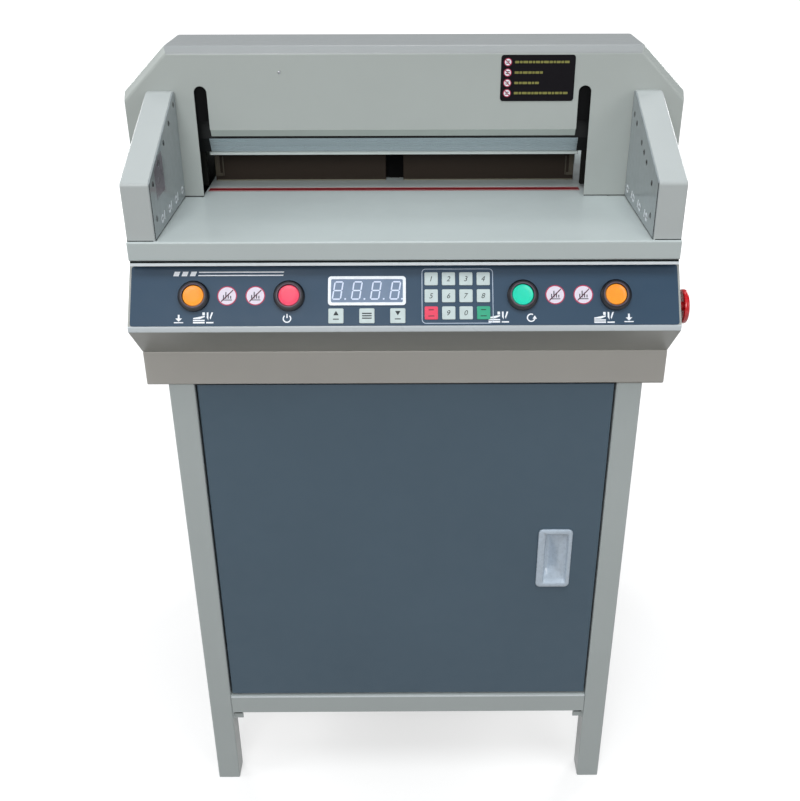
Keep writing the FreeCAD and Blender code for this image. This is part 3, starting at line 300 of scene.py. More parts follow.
# A darker copy of the head's paint: painted shade on the head's top and bevel
CROWN_PAINTED_SHADE = paint("crown_painted_shade", (154, 158, 159))
STICK_EDGE = plastic("stick_edge", (196, 150, 150), 0.5, 0.2)
# Near black: painted shadow in gaps and seams, and painted shade on the rail's tabs
DARK_PAINTED_SHADE = print_ink("dark_painted_shade", (34, 38, 38), 0.7, 0.05)
# Near black: painted shade in the gauge's notch
NOTCH_PAINTED_SHADE = print_ink("notch_painted_shade", (12, 12, 13), 0.7, 0.05)
BRACKET = paint("bracket_brown", (74, 69, 57), 0.5)
SLOT_OF = {part["node"]: part["material_slot"] for part in frame["record"]["subparts"]}


def body_of(node):
    return NODES[node]["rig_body"]


for node_name, node_object in NODES.items():
    node_object.data.materials.clear()
    node_object.data.materials.append(M[SLOT_OF[node_name]])


# Making pieces


def in_scene(name, data):
    made = bpy.data.objects.new(name, data)
    bpy.context.scene.collection.objects.link(made)
    return made


def piece(name, verts, faces, body, slot, material=None, smooth=False):
    """Mesh piece from an array of points in metres and a list of faces."""
    mesh = bpy.data.meshes.new(name)
    mesh.from_pydata(np.asarray(verts).tolist(), [], [list(map(int, f)) for f in faces])
    mesh.update()
    made = in_scene(name, mesh)
    mesh.materials.append(material or M[slot])
    mesh.polygons.foreach_set("use_smooth", [smooth] * len(mesh.polygons))
    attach(made, body)
    return made


# Limits of the rounding, in metres and degrees. RUN_ON is the cosine of the 40 degrees within which one
# edge counts as the next one's continuation.
WELD = 2e-6
FLAT_TURN = 0.8
SHARP_TURN = 28
RUN_ON = 0.766
RIM_WIDTH = 0.004
LONG_EDGE = 0.02
PROUD = 2e-5
REACH = 1.3


def even_runs(bm, weight):
    """Gives edges that run on from each other the smallest of their weights."""
    changed = True
    while changed:
        changed = False
        for v in bm.verts:
            near = [(e, (e.other_vert(v).co - v.co).normalized()) for e in v.link_edges if e[weight] > 0]
            for e, d in near:
                least = min([f[weight] for f, other in near if d.dot(other) < -RUN_ON] + [e[weight]])
                if least < e[weight]:
                    e[weight] = least
                    changed = True


def bake_rounding(made, skin, bend):
    """Bakes the bevel; a point that it threw off the sheet, or further in than the bend, goes back
    onto it."""
    bpy.context.view_layer.update()
    plain = made.data
    corners = np.array([v.co for v in plain.vertices])
    low, high = corners.min(0), corners.max(0)
    depsgraph = bpy.context.evaluated_depsgraph_get()
    baked = bpy.data.meshes.new_from_object(made.evaluated_get(depsgraph))
    made.modifiers.clear()
    made.data = baked
    name = plain.name
    bpy.data.meshes.remove(plain)
    baked.name = name
    for v in baked.vertices:
        near, normal, face, gap = skin.find_nearest(v.co)
        if gap > REACH * bend or (v.co - near).dot(normal) > PROUD:
            v.co = near
    points = np.empty(3 * len(baked.vertices))
    baked.vertices.foreach_get("co", points)
    baked.vertices.foreach_set("co", np.clip(points.reshape(-1, 3), low, high).ravel())
    baked.update()


def softened(node, bend=1.5, edge=0.5, wide=6.0):
    """Rounded copy of a folded-sheet node that stands for it: bends between two wide faces get the
    full radius, the sheet's own edges a small one, and inner corners stay sharp. The sheet's narrow
    rims are cut at their corners first, because a long thin U doesn't divide well into triangles."""
    mesh = NODES[node].data.copy()
    mesh.name = node + "_folded"
    bm = bmesh.new()
    bm.from_mesh(mesh)
    bmesh.ops.remove_doubles(bm, verts=bm.verts, dist=WELD)
    bmesh.ops.dissolve_limit(bm, angle_limit=math.radians(FLAT_TURN), verts=bm.verts, edges=bm.edges)
    rims = [f for f in bm.faces if len(f.verts) > 4 and 2 * f.calc_area() / f.calc_perimeter() < RIM_WIDTH]
    bmesh.ops.connect_verts_concave(bm, faces=rims)
    weight = bm.edges.layers.float.new("bevel_weight_edge")
    for e in bm.edges:
        if len(e.link_faces) != 2:
            continue
        turn = e.calc_face_angle(0.0)
        e.smooth = turn < math.radians(SHARP_TURN)
        if e.smooth or not e.is_convex:
            continue
        narrow = min(f.calc_area() / e.calc_length() for f in e.link_faces)
        e[weight] = 1.0 if narrow > wide / 1000 and e.calc_length() > LONG_EDGE else edge / bend
        e.smooth = True
    even_runs(bm, weight)
    for f in bm.faces:
        f.smooth = True
    skin = BVHTree.FromBMesh(bm)
    bm.to_mesh(mesh)
    bm.free()
    made = in_scene(mesh.name, mesh)
    rounding = made.modifiers.new("rounding", "BEVEL")
    rounding.width = bend / 1000
    rounding.segments = 3
    rounding.limit_method = "WEIGHT"
    rounding.use_clamp_overlap = False
    rounding.miter_outer = "MITER_SHARP"
    bake_rounding(made, skin, bend / 1000)
    made.modifiers.new("normals", "WEIGHTED_NORMAL").keep_sharp = True
    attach(made, body_of(node))
    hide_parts(node)
    return made


def gathered(parts):
    """Several (points, faces) as one, with the faces' numbers moved on."""
    faces = []
    count = 0
    for verts, part_faces in parts:
        faces += [[i + count for i in f] for f in part_faces]
        count += len(verts)
    return np.concatenate([verts for verts, part_faces in parts]), faces


def made_of(name, parts, body, slot, material=None, smooth=False):
    """One piece of several closed forms, given as points in machine millimetres with their faces."""
    verts, faces = gathered(parts)
    made = piece(name, verts / 1000 + AT, faces, body, slot, material, smooth)
    tidy(made)
    return made


def ring_faces(rows, columns, wrap=False):
    """Quads between rows of points that close on themselves; wrap joins the last row to the first."""
    i = np.arange(rows if wrap else rows - 1)[:, None]
    j = np.arange(columns)[None, :]
    k = (j + 1) % columns
    n = (i + 1) % rows
    quads = [i * columns + j, i * columns + k, n * columns + k, n * columns + j]
    return np.stack(quads, -1).reshape(-1, 4).tolist()


def turning(profile, centre, axis, steps=64, wrap=False):
    """Turned form: points (radius, height) carried round an axis through centre."""
    profile = np.asarray(profile, float)
    angle = np.linspace(0, 2 * math.pi, steps, endpoint=False)
    axis = np.asarray(axis, float) / np.linalg.norm(axis)
    side = np.cross(axis, [1, 0, 0] if abs(axis[0]) < 0.9 else [0, 1, 0])
    side /= np.linalg.norm(side)
    other = np.cross(axis, side)
    around = np.cos(angle)[:, None] * side + np.sin(angle)[:, None] * other
    rings = profile[:, 0, None, None] * around + profile[:, 1, None, None] * axis
    return rings.reshape(-1, 3) + np.asarray(centre, float), ring_faces(len(profile), steps, wrap)


def face_frame(origin, right, up):
    """Map from places on a flat face (across, up, out of it) to machine millimetres."""
    axes = np.array([right, up, np.cross(right, up)], float)

    def to_machine(points):
        return np.asarray(origin, float) + np.asarray(points, float) @ axes
    to_machine.out = axes[2]
    return to_machine


def front_face(y, z=0.0):
    """Upright face that looks forwards."""
    return face_frame((0, y, z), (1, 0, 0), (0, 0, 1))


def back_face(y):
    """Upright face that looks backwards."""
    return face_frame((0, y, 0), (-1, 0, 0), (0, 0, 1))


def rounded(width, height, radius, x=0.0, y=0.0, steps=6):
    """Outline of a rectangle about (x, y) with a quarter circle at each corner."""
    quarter = np.linspace(0, math.pi / 2, steps)
    turns = (quarter[None, :] + np.arange(4)[:, None] * math.pi / 2).ravel()
    corner = np.repeat([[1, 1], [-1, 1], [-1, -1], [1, -1]], steps, axis=0)
    inner = np.array([width / 2 - radius, height / 2 - radius])
    return corner * inner + radius * np.stack([np.cos(turns), np.sin(turns)], 1) + [x, y]


def circle(radius, x=0.0, y=0.0, steps=48):
    turn = np.linspace(0, 2 * math.pi, steps, endpoint=False)
    return np.stack([x + radius * np.cos(turn), y + radius * np.sin(turn)], 1)


def levelled(outline, level):
    return np.concatenate([outline, np.full((len(outline), 1), level)], 1)


def slab(outline, low, high):
    """Closed slab between two levels, with the outline as its two faces."""
    outline = np.asarray(outline, float)
    n = len(outline)
    verts = np.concatenate([levelled(outline, low), levelled(outline, high)])
    return verts, ring_faces(2, n) + [list(range(n)), list(range(n, 2 * n))]


def band(outer, inner, low, high):
    """Closed band between two outlines with as many points each."""
    loops = [levelled(inner, low), levelled(outer, low), levelled(outer, high), levelled(inner, high)]
    return np.concatenate(loops), ring_faces(4, len(outer), True)


def stroke(points, width, low, high):
    """Open band of even width along a path: the path moved to each side along its normals."""
    points = np.asarray(points, float)
    along = np.gradient(points, axis=0)
    along /= np.linalg.norm(along, axis=1)[:, None]
    aside = np.stack([-along[:, 1], along[:, 0]], 1) * width / 2
    return slab(np.concatenate([points + aside, (points - aside)[::-1]]), low, high)


def arc(radius, start, end, x=0.0, y=0.0, steps=40):
    """Points along a circle from one angle to another, in degrees."""
    turn = np.radians(np.linspace(start, end, steps))
    return np.stack([x + radius * np.cos(turn), y + radius * np.sin(turn)], 1)


def shifted(outline, x, y, scale=1.0):
    return np.asarray(outline, float) * scale + [x, y]


def placed(parts, place):
    return [(place(verts), faces) for verts, faces in parts]


def laid(name, outlines, low, high, place, body, slot, material=None, smooth=False):
    """One piece of slabs with their outlines on a face, between two levels out of it."""
    parts = [slab(outline, low, high) for outline in outlines]
    return made_of(name, placed(parts, place), body, slot, material, smooth)


def domed(radius, height, foot=0.0, rise=5):
    """Profile of a low dome from its rim to its pole."""
    t = np.linspace(0, math.pi / 2, rise)
    return [(0, foot), (radius, foot)] + [(radius * math.cos(a), foot + height * math.sin(a)) for a in t]


def tidy(made, sharp=35.0):
    """Closes poles, points faces outwards and marks creases."""
    bm = bmesh.new()
    bm.from_mesh(made.data)
    bmesh.ops.remove_doubles(bm, verts=bm.verts, dist=1e-6)
    bmesh.ops.recalc_face_normals(bm, faces=bm.faces)
    bm.to_mesh(made.data)
    bm.free()
    made.data.set_sharp_from_angle(angle=math.radians(sharp))


# Folded-sheet pieces with their bends

# The head's upward faces near its top take a darker copy of its paint, as painted shade on the top and bevel
CROWN_DEPTH = 0.03
CROWN_RISE = 0.25
CROWN_SIDE = 0.2

for half in ("head_front_cover", "head_rear_cover"):
    crown = softened(half, 2.4, 0.5).data
    crown.materials.append(CROWN_PAINTED_SHADE)
    top = max(v.co.z for v in crown.vertices)
    for face in crown.polygons:
        upwards = face.normal.z > CROWN_RISE and abs(face.normal.x) < CROWN_SIDE
        if upwards and face.center.z > top - CROWN_DEPTH:
            face.material_index = 1

# Bend and sheet edge of each, in millimetres
BENDS = {"work_table": (1.5, 0.6), "control_housing": (1.6, 0.5), "stand_top_tray": (1.8, 0.5),
         "stand_bottom_shelf": (1.6, 0.4), "cabinet_shell": (1.6, 0.4), "machine_base": (1.6, 0.5),
         "rear_side_lays": (1.0, 0.5), "cabinet_door": (1.8, 0.4), "cutting_stick": (0.4, 0.3),
         "clamp_beam": (0.8, 0.4), "back_gauge": (0.8, 0.4), "power_inlet": (0.8, 0.3)}
for sheet_node, (bend, edge) in BENDS.items():
    softened(sheet_node, bend, edge)

# Faces that carry the small pieces

HEAD_FRONT = 161.0
GUARD_PLATE = 263.8
PANEL_RUN, PANEL_DROP = 46.0, 65.0
PANEL_SLOPE = math.hypot(PANEL_RUN, PANEL_DROP)
OVERLAY_TOP = 12.3
OVERLAY_HEIGHT = PANEL_SLOPE - 13.3
FILM = 0.8
INK = 0.06
SLOPE_Y, SLOPE_Z = PANEL_RUN / PANEL_SLOPE, PANEL_DROP / PANEL_SLOPE
PANEL_Y, PANEL_Z = 20, -22
panel = face_frame((0, PANEL_Y - SLOPE_Y * OVERLAY_TOP, PANEL_Z - SLOPE_Z * OVERLAY_TOP),
                   (1, 0, 0), (0, SLOPE_Y, SLOPE_Z))
head_face = front_face(HEAD_FRONT)
guard_faces = {"left": face_frame((-GUARD_PLATE, 0, 0), (0, 1, 0), (0, 0, 1)),
               "right": face_frame((GUARD_PLATE, 0, 0), (0, -1, 0), (0, 0, 1))}
table_face = face_frame((0, 0, 0), (1, 0, 0), (0, 1, 0))
section = face_frame((0, 0, 0), (0, 1, 0), (0, 0, 1))
TABLE_SIDE = 295.0
CUT_CENTRE = -13.5
OPENING = 228.0

# Side guards: folded shells with rounded corners, open at the foot

GUARD_FRONT, GUARD_SHOULDER, GUARD_BACK = 3.0, 151.2, 160.7
GUARD_LOW, GUARD_TOP = 63.0, 125.5
GUARD = np.array([(GUARD_FRONT, 0.0), (GUARD_BACK, 0.0), (GUARD_BACK, GUARD_TOP),
                  (GUARD_SHOULDER, GUARD_TOP), (GUARD_FRONT, GUARD_LOW)])
GUARD_ROUND = (0.05, 0.05, 2.2, 5.0, 6.0)
GUARD_STEPS = 7
GUARD_INNER, GUARD_OUTER = 265.0, TABLE_SIDE


def inset(outline, depth):
    """Outline, anticlockwise, moved inwards: each corner goes by depth (a + b) / (1 + a.b), with a and
    b the inward normals of its two edges."""
    outline = np.asarray(outline, float)
    along = np.roll(outline, -1, 0) - outline
    along /= np.linalg.norm(along, axis=1)[:, None]
    after = np.stack([-along[:, 1], along[:, 0]], 1)
    before = np.roll(after, 1, 0)
    return outline + depth * (before + after) / (1 + (before * after).sum(1))[:, None]


def corner_round(before, at, after, radius, steps):
    """Arc that touches both legs of a corner; its middle lies on their bisector."""
    a = (before - at) / np.linalg.norm(before - at)
    b = (after - at) / np.linalg.norm(after - at)
    half = math.acos(float(np.clip(a @ b, -1, 1))) / 2
    middle = at + (a + b) / np.linalg.norm(a + b) * radius / math.sin(half)
    first, last = (at + leg * radius / math.tan(half) - middle for leg in (a, b))
    start = math.atan2(first[1], first[0])
    sweep = (math.atan2(last[1], last[0]) - start + math.pi) % (2 * math.pi) - math.pi
    turn = start + sweep * np.linspace(0, 1, steps)
    return middle + radius * np.stack([np.cos(turn), np.sin(turn)], 1)


def guard_loop(depth, foot=0.0):
    """The guard's outline, moved inwards, with its corners rounded and its foot at a level of its own."""
    corners = inset(GUARD, depth)
    corners[:2, 1] = foot
    after = np.roll(corners, -1, 0)
    arcs = [corner_round(corners[i - 1], corners[i], after[i], max(r - depth, 0.05), GUARD_STEPS)
            for i, r in enumerate(GUARD_ROUND)]
    return np.concatenate(arcs)


def side_guard(side):
    """Loops of the outline from the outer face to the inner one: quarter circles of inset at both, then a
    wall inwards."""
    outer_round, inner_round = 2.0, 0.8
    quarter = np.linspace(0, math.pi / 2, 5)
    steps = [(GUARD_OUTER - outer_round * (1 - math.cos(a)), outer_round * (1 - math.sin(a)))
             for a in quarter]
    steps += [(GUARD_INNER + inner_round * (1 - math.cos(a)), inner_round * (1 - math.sin(a)))
              for a in quarter[::-1]]
    way = -1 if side == "left" else 1
    count = GUARD_STEPS * len(GUARD)
    verts = np.concatenate([levelled(guard_loop(depth), way * x) for x, depth in steps])
    faces = [f for f in ring_faces(len(steps), count) if f[0] % count != GUARD_STEPS - 1]
    last = (len(steps) - 1) * count
    faces += [list(range(count)), list(range(last, last + count))]
    made = made_of("guard_shell_" + side, [(section(verts), faces)], "machine", "guard_paint",
                   smooth=True)
    wall = made.modifiers.new("wall", "SOLIDIFY")
    wall.thickness = 0.002
    wall.offset = -1.0
    wall.use_even_offset = True
    made.modifiers.new("normals", "WEIGHTED_NORMAL").keep_sharp = True
    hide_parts("side_guard_" + side)


for side in ("left", "right"):
    side_guard(side)
    way = 1 if side == "left" else -1
    edges = [guard_loop(depth, depth) * [way, 1] for depth in (0.9, 5.0)]
    made_of("guard_border_" + side, placed([band(edges[0], edges[1], -1.3, 0)], guard_faces[side]),
            "machine", "sensor_plate")
    # Dark strip round the inner plate's edge: painted shade in the gap between the shell and the plate
    edge_shade = [(3.9, 0.9), (159.8, 0.9), (159.8, 1.5), (4.5, 1.5), (4.5, 62.0), (3.9, 62.0)]
    laid("guard_edge_shade_" + side, [np.array(edge_shade) * [way, 1]], -0.5, 0.03, guard_faces[side],
         "machine", "sensor_plate", DARK_PAINTED_SHADE)

# Painted shadow along the seams on the table, round the guards' feet and under the head's front

SEAM = 0.05
guard_mid = (GUARD_INNER + GUARD_OUTER) / 2
foot_shade_parts = [band(rounded(30 + 2 * SEAM, 157.7 + 2 * SEAM, 1.9, way * guard_mid, 81.85),
                   rounded(29.8, 157.5, 1.8, way * guard_mid, 81.85), 0.02, 1.0) for way in (-1, 1)]
made_of("guard_foot_shade", placed(foot_shade_parts, table_face), "machine", "guard_paint", DARK_PAINTED_SHADE)
foot_runs = ((-GUARD_INNER, CUT_CENTRE - OPENING - 0.6), (CUT_CENTRE + OPENING + 0.6, GUARD_INNER))
laid("head_foot_shade", [rounded(b - a, 1.1, 0.1, (a + b) / 2, 0.6, 2) for a, b in foot_runs], 0, SEAM,
     head_face, "machine", "head_paint", DARK_PAINTED_SHADE)

# Head's lip under a skin of painted shade, the ground edge of the knife, and what shows through the opening

LIP_HALF = 213.0
LIP_LEFT, LIP_RIGHT = CUT_CENTRE - LIP_HALF, CUT_CENTRE + LIP_HALF
LIP_RUN, LIP_DROP = 3.5, 8.0
lip_up = np.array([0, -LIP_RUN, LIP_DROP]) / math.hypot(LIP_RUN, LIP_DROP)
# Skin of painted shade over the lip's face
laid("lip_painted_shade_skin", [[(LIP_LEFT, -8.6), (LIP_RIGHT, -8.6), (LIP_RIGHT, 0.1), (LIP_LEFT, 0.1)]], 0, 0.06,
     face_frame((0, HEAD_FRONT, 80.0), (1, 0, 0), lip_up), "machine", "head_paint", LIP_PAINTED_SHADE)
edge_outline = [(183.0, 64.8), (190.9, 47.25), (190.85, 47.2), (182.94, 64.77)]
laid("ground_edge", [edge_outline], CUT_CENTRE - 220.0, CUT_CENTRE + 220.5, section,
     body_of("knife_blade"), "blade_steel", GROUND_STEEL)

GAUGE_FRONT = 227.7
gauge_face = front_face(GAUGE_FRONT)


def bracket(way):
    """Upright strap at one end of the gauge, with a short foot and a rib."""
    end = CUT_CENTRE + way * 224.5
    strap = slab(rounded(5.6, 27.0, 0.8, end - way * 2.8, 20.5, 3), 0, 0.9)
    foot = slab(rounded(8.6, 3.4, 0.6, end - way * 4.3, 8.6, 3), 0, 1.6)
    rib = slab(rounded(1.4, 24.0, 0.5, end - way * 9.8, 19.0, 3), 0, 1.2)
    return [strap, foot, rib]


gauge = body_of("back_gauge")
made_of("gauge_brackets", placed(bracket(-1) + bracket(1), gauge_face), gauge, "gauge_metal", BRACKET)
# Pale line along the gauge's foot: painted highlight
laid("gauge_foot_line", [rounded(213.0, 1.3, 0.2, CUT_CENTRE + way * 117.6, 0.95, 2) for way in (-1, 1)],
     0, 0.1, gauge_face, gauge, "gauge_metal", GAUGE_FOOT_HIGHLIGHT)
# Black sheet at the back of the gauge's notch: painted shade in the recess
NOTCH_DEPTH = 12.0
laid("gauge_notch_shade", [rounded(21.6, 50.6, 0.3, CUT_CENTRE, 26.2, 2)], 0, 0.1,
     front_face(GAUGE_FRONT + NOTCH_DEPTH), gauge, "gauge_metal", NOTCH_PAINTED_SHADE)

# Painted highlights on the housing's edges over and under the film, painted shadow in the gap under the
# table, and painted shade on the tabs under the shelf's rail

HOUSING_END = 298.4
# A ledge under the table's front edge in near-white paint: painted highlight on the housing's top edge
ledge = [(0.2, -23.8), (0.2, -26.8), (0.7, -27.1), (16.6, -27.1), (18.9, -23.8)]
# Dark strip between the table and the ledge: painted shadow under the table's edge
gap = [(1.2, -22.05), (1.2, -23.8), (18.9, -23.8), (19.9, -22.05)]
laid("housing_top_edge", [ledge], 0.6 - TABLE_SIDE, TABLE_SIDE - 0.6, section,
     "machine", "body_paint", PAINTED_HIGHLIGHT)
laid("housing_gap_shade", [gap], 0.9 - TABLE_SIDE, TABLE_SIDE - 0.9, section,
     "machine", "body_paint", DARK_PAINTED_SHADE)


def lip_highlight_outline():
    """Skin of painted highlight over the housing's lip: down the slope's end, round the upper bend, down, and
    into the lower bend."""
    slope = np.array([-SLOPE_Y, -SLOPE_Z])
    down = np.array([0, -1.0])
    under = np.array([43.0, -44.0]) / math.hypot(43, 44)
    upper, lower = np.array([-26.0, -87.0]), np.array([-26.0, -93.0])
    path = [upper - slope * 0.95]
    path += list(corner_round(upper - slope * 5, upper, upper + down * 5, 2.2, 6))
    path += list(corner_round(lower - down * 5, lower, lower + under * 5, 2.2, 6)[:4])
    path = np.array(path)
    along = np.gradient(path, axis=0)
    along /= np.linalg.norm(along, axis=1)[:, None]
    out = np.stack([along[:, 1], -along[:, 0]], 1)
    return np.concatenate([path + 0.06 * out, (path - 0.2 * out)[::-1]])


laid("housing_lip_highlight", [lip_highlight_outline()], -HOUSING_END, HOUSING_END, section,
     "machine", "body_paint", LOWER_PAINTED_HIGHLIGHT, True)
TAB_FRONT = 23.0
# Dark plates on the tabs' fronts: painted shade
laid("rail_tab_shade", [rounded(11.6, 5.6, 0.5, x, -701.4, 3) for x in (-238.0, 238.0)], 0, 0.06,
     front_face(TAB_FRONT), "machine", "leg_paint", DARK_PAINTED_SHADE)

stick_low, stick_high = (np.array(corner) * 1000 - AT * 1000 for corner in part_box("cutting_stick"))
stick_mid, stick_half = (stick_low[0] + stick_high[0]) / 2, (stick_high[0] - stick_low[0]) / 2
stick_top = face_frame((stick_mid, 0, stick_high[2]), (1, 0, 0), (0, 1, 0))
stick_rows = (stick_low[1] + 0.9, stick_high[1] - 0.9)
laid("stick_edges", [rounded(2 * stick_half, 1.8, 0.1, 0, y, 2) for y in stick_rows], 0, 0.05,
     stick_top, body_of("cutting_stick"), "stick_red", STICK_EDGE)

RAIL_TOP = -668.5
rail_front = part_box("stand_bottom_shelf")[0][1] * 1000 - 1000 * AT[1]
# Pale strip along the rail's top edge: painted highlight
laid("rail_edge_highlight", [rounded(489.0, 1.9, 0.3, 0, -1.5, 3)], -0.4, 0.06, front_face(rail_front, RAIL_TOP),
     "machine", "leg_paint", PAINTED_HIGHLIGHT)

# Push buttons, their bezels and caps

BUTTON_ROW = -(OVERLAY_HEIGHT / 2 + 0.55)
BUTTONS = {"cut_button_left": -227.8, "power_button": -124.9, "reset_button": 127.2,
           "cut_button_right": 227.8}
CAP_PROFILE = [(0, -14.5), (11.7, -14.5), (11.7, 3.4), (11.35, 3.9), (11.35, 5.3), (11.1, 5.75),
               (10.6, 6.0), (10.0, 5.95), (9.3, 5.72), (6.0, 5.62), (0, 5.6)]
RIM_PROFILE = [(12.05, 6.5), (12.05, 6.85), (12.25, 7.05), (13.2, 7.05), (13.5, 6.9), (13.6, 6.5)]

for name, x in BUTTONS.items():
    cap = made_of(name + "_cap", [turning(CAP_PROFILE, panel([x, BUTTON_ROW, 0]), panel.out)],
                  body_of(name), SLOT_OF[name], smooth=True)
    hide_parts(name)
made_of("button_rims", [turning(RIM_PROFILE, panel([x, BUTTON_ROW, 0]), panel.out, wrap=True)
                        for x in BUTTONS.values()], "machine", "black_plastic", RIM_GREY, True)

# Printing on the panel's film


def on_film(name, outlines, material, bands=()):
    """Ink laid on the overlay: each outline a slab, each pair of outlines a band."""
    parts = [slab(outline, FILM, FILM + INK) for outline in outlines]
    parts += [band(outer, inner, FILM, FILM + INK) for outer, inner in bands]
    return made_of(name, placed(parts, panel), "machine", "overlay_film", material)


NOTICE_X = (-192.0, -161.5, 162.5, 193.0)
NOTICE_ROW = -33.0
on_film("notice_discs", [circle(9.5, x, NOTICE_ROW) for x in NOTICE_X], DISC_INK)
on_film("notice_rings", [], RED_INK,
        [(circle(10.6, x, NOTICE_ROW), circle(9.5, x, NOTICE_ROW)) for x in NOTICE_X])


def notice_bars(x):
    """Four short upright bars of unlike heights on a level foot."""
    heights = (4.2, 7.6, 5.6, 3.2)
    bars = [rounded(1.1, h, 0.4, x - 3.9 + 2.6 * i, NOTICE_ROW - 3.2 + h / 2)
            for i, h in enumerate(heights)]
    return bars + [rounded(11.0, 0.9, 0.4, x, NOTICE_ROW - 4.6)]


laid("notice_marks", [bar for x in NOTICE_X for bar in notice_bars(x)], FILM + INK, FILM + 2 * INK,
     panel, "machine", "overlay_film", DARK_INK)
slashes = [stroke([(x - 6.4, NOTICE_ROW - 6.4), (x + 6.4, NOTICE_ROW + 6.4)], 1.2,
                  FILM + INK, FILM + 3 * INK) for x in NOTICE_X]
made_of("notice_slashes", placed(slashes, panel), "machine", "overlay_film", SLASH_INK)

PAD_X, PAD_ROW = 56.6, -(OVERLAY_HEIGHT / 2 + 0.75)
on_film("keypad_outline", [], PALE_INK, [(rounded(77.4, 60.6, 4.4, PAD_X + 0.2, PAD_ROW - 0.1),
                                          rounded(75.8, 59.0, 3.6, PAD_X + 0.2, PAD_ROW - 0.1))])

# Small signs under the buttons: a blade over a stack, an arrow onto a line, power and reset


def press_sign(x, y):
    """Wedge of a blade beside a stack of three sheets, each an outline in millimetres about (x, y)."""
    shapes = [[(0, 0), (12.5, 0), (12.5, 1.7), (0, 1.7)],
              [(0, 2.5), (12.5, 2.5), (12.5, 3.9), (0, 3.9)],
              [(0, 4.7), (7.0, 4.7), (12.5, 6.9), (12.5, 8.3), (0, 5.9)],
              [(9.8, 8.8), (12.5, 8.8), (12.5, 12), (9.8, 12)],
              [(14.6, 12), (16.4, 12), (16.4, 3.4), (14.6, 6.4)],
              [(19.6, 12), (21.4, 12), (18.6, 4.2), (17.8, 6.2)],
              [(14.2, 0), (22.0, 0), (22.0, 1.5), (14.2, 1.5)]]
    return [shifted(shape, x - 11, y - 6) for shape in shapes]


def arrow_sign(x, y):
    """Arrow that points down onto a line."""
    shapes = [[(-1.0, 4.6), (1.0, 4.6), (1.0, 0.6), (3.6, 0.6), (0, -3.0), (-3.6, 0.6), (-1.0, 0.6)],
              [(-5.0, -4.6), (5.0, -4.6), (5.0, -3.5), (-5.0, -3.5)]]
    return [shifted(shape, x, y) for shape in shapes]


SIGN_ROW = -58.2
on_film("cut_sign_left", press_sign(-217.0, SIGN_ROW + 1.1) + arrow_sign(-243.5, SIGN_ROW), WHITE_INK)
on_film("cut_sign_right", press_sign(215.0, SIGN_ROW) + arrow_sign(241.5, SIGN_ROW - 0.6), WHITE_INK)
on_film("reset_sign_stack", press_sign(101.0, SIGN_ROW + 0.8), WHITE_INK)
sign_paths = [arc(4.0, 130, 410, -127.0, SIGN_ROW), [(-127, SIGN_ROW + 0.6), (-127, SIGN_ROW + 5.2)],
              arc(4.0, 60, 350, 136.0, SIGN_ROW)]
sign_parts = [stroke(path, 1.3, FILM, FILM + INK) for path in sign_paths]
turn_tip = shifted([(-2.4, -0.3), (2.4, -0.3), (0, 3.4)], 139.9, SIGN_ROW - 0.9)
sign_parts.append(slab(turn_tip, FILM, FILM + INK))
made_of("power_reset_signs", placed(sign_parts, panel), "machine", "overlay_film", WHITE_INK)

# Plain rule over the left-hand buttons, three slanted dashes and a long line


def slanted(x0, x1, y, thick, lean=0.36):
    half = thick / 2
    return [(x0 - lean * half, y - half), (x1 - lean * half, y - half), (x1 + lean * half, y + half),
            (x0 + lean * half, y + half)]


RULE_ROW = -8.6
on_film("panel_rule", [slanted(-250 + 9 * i, -244 + 9 * i, RULE_ROW, 5.0) for i in range(3)]
        + [slanted(-223, -131, RULE_ROW + 1.8, 1.2), slanted(-223.6, -131.6, RULE_ROW - 1.8, 1.2)], WHITE_INK)

# Display: glass, four figures of seven segments and their points

DISPLAY_X, DISPLAY_ROW = -41.0, -28.1
GLASS_LEVEL = 1.42
GLASS_TOP = 1.9
laid("display_glass", [rounded(77.4, 25.4, 1.6, DISPLAY_X, DISPLAY_ROW)], GLASS_LEVEL, GLASS_TOP,
     panel, "machine", "display_white", GLASS)


def segment_figure(x, y, width=10.2, height=20.4, thick=1.5, gap=0.25, lean=0.16):
    """Seven six-cornered bars of an eight; each point leans by its height."""
    w, h, t = width / 2 - thick / 2, height / 2 - thick / 2, thick / 2
    level = np.array([(-w + gap, 0), (-w + gap + t, t), (w - gap - t, t), (w - gap, 0),
                      (w - gap - t, -t), (-w + gap + t, -t)])
    upright = np.array([(0, gap), (t, gap + t), (t, h - gap - t), (0, h - gap),
                        (-t, h - gap - t), (-t, gap + t)])
    bars = [level + [0, k * h] for k in (-1, 0, 1)]
    bars += [upright + [side * w, k * h] for side in (-1, 1) for k in (-1, 0)]
    return [np.stack([b[:, 0] + lean * b[:, 1] + x, b[:, 1] + y], 1) for b in bars]


FIGURE_X = (-72.5, -51.9, -31.3, -10.4)
segments = [bar for x in FIGURE_X for bar in segment_figure(x, DISPLAY_ROW + 0.3)]
points = [circle(1.0, x, -37.1, 20) for x in (-64.4, -43.7, -22.9, -3.2)]
laid("display_figures", segments + points, GLASS_TOP, GLASS_TOP + INK, panel,
     "machine", "display_white", SEGMENTS)

# Key legends

KEY_TOP = 1.6


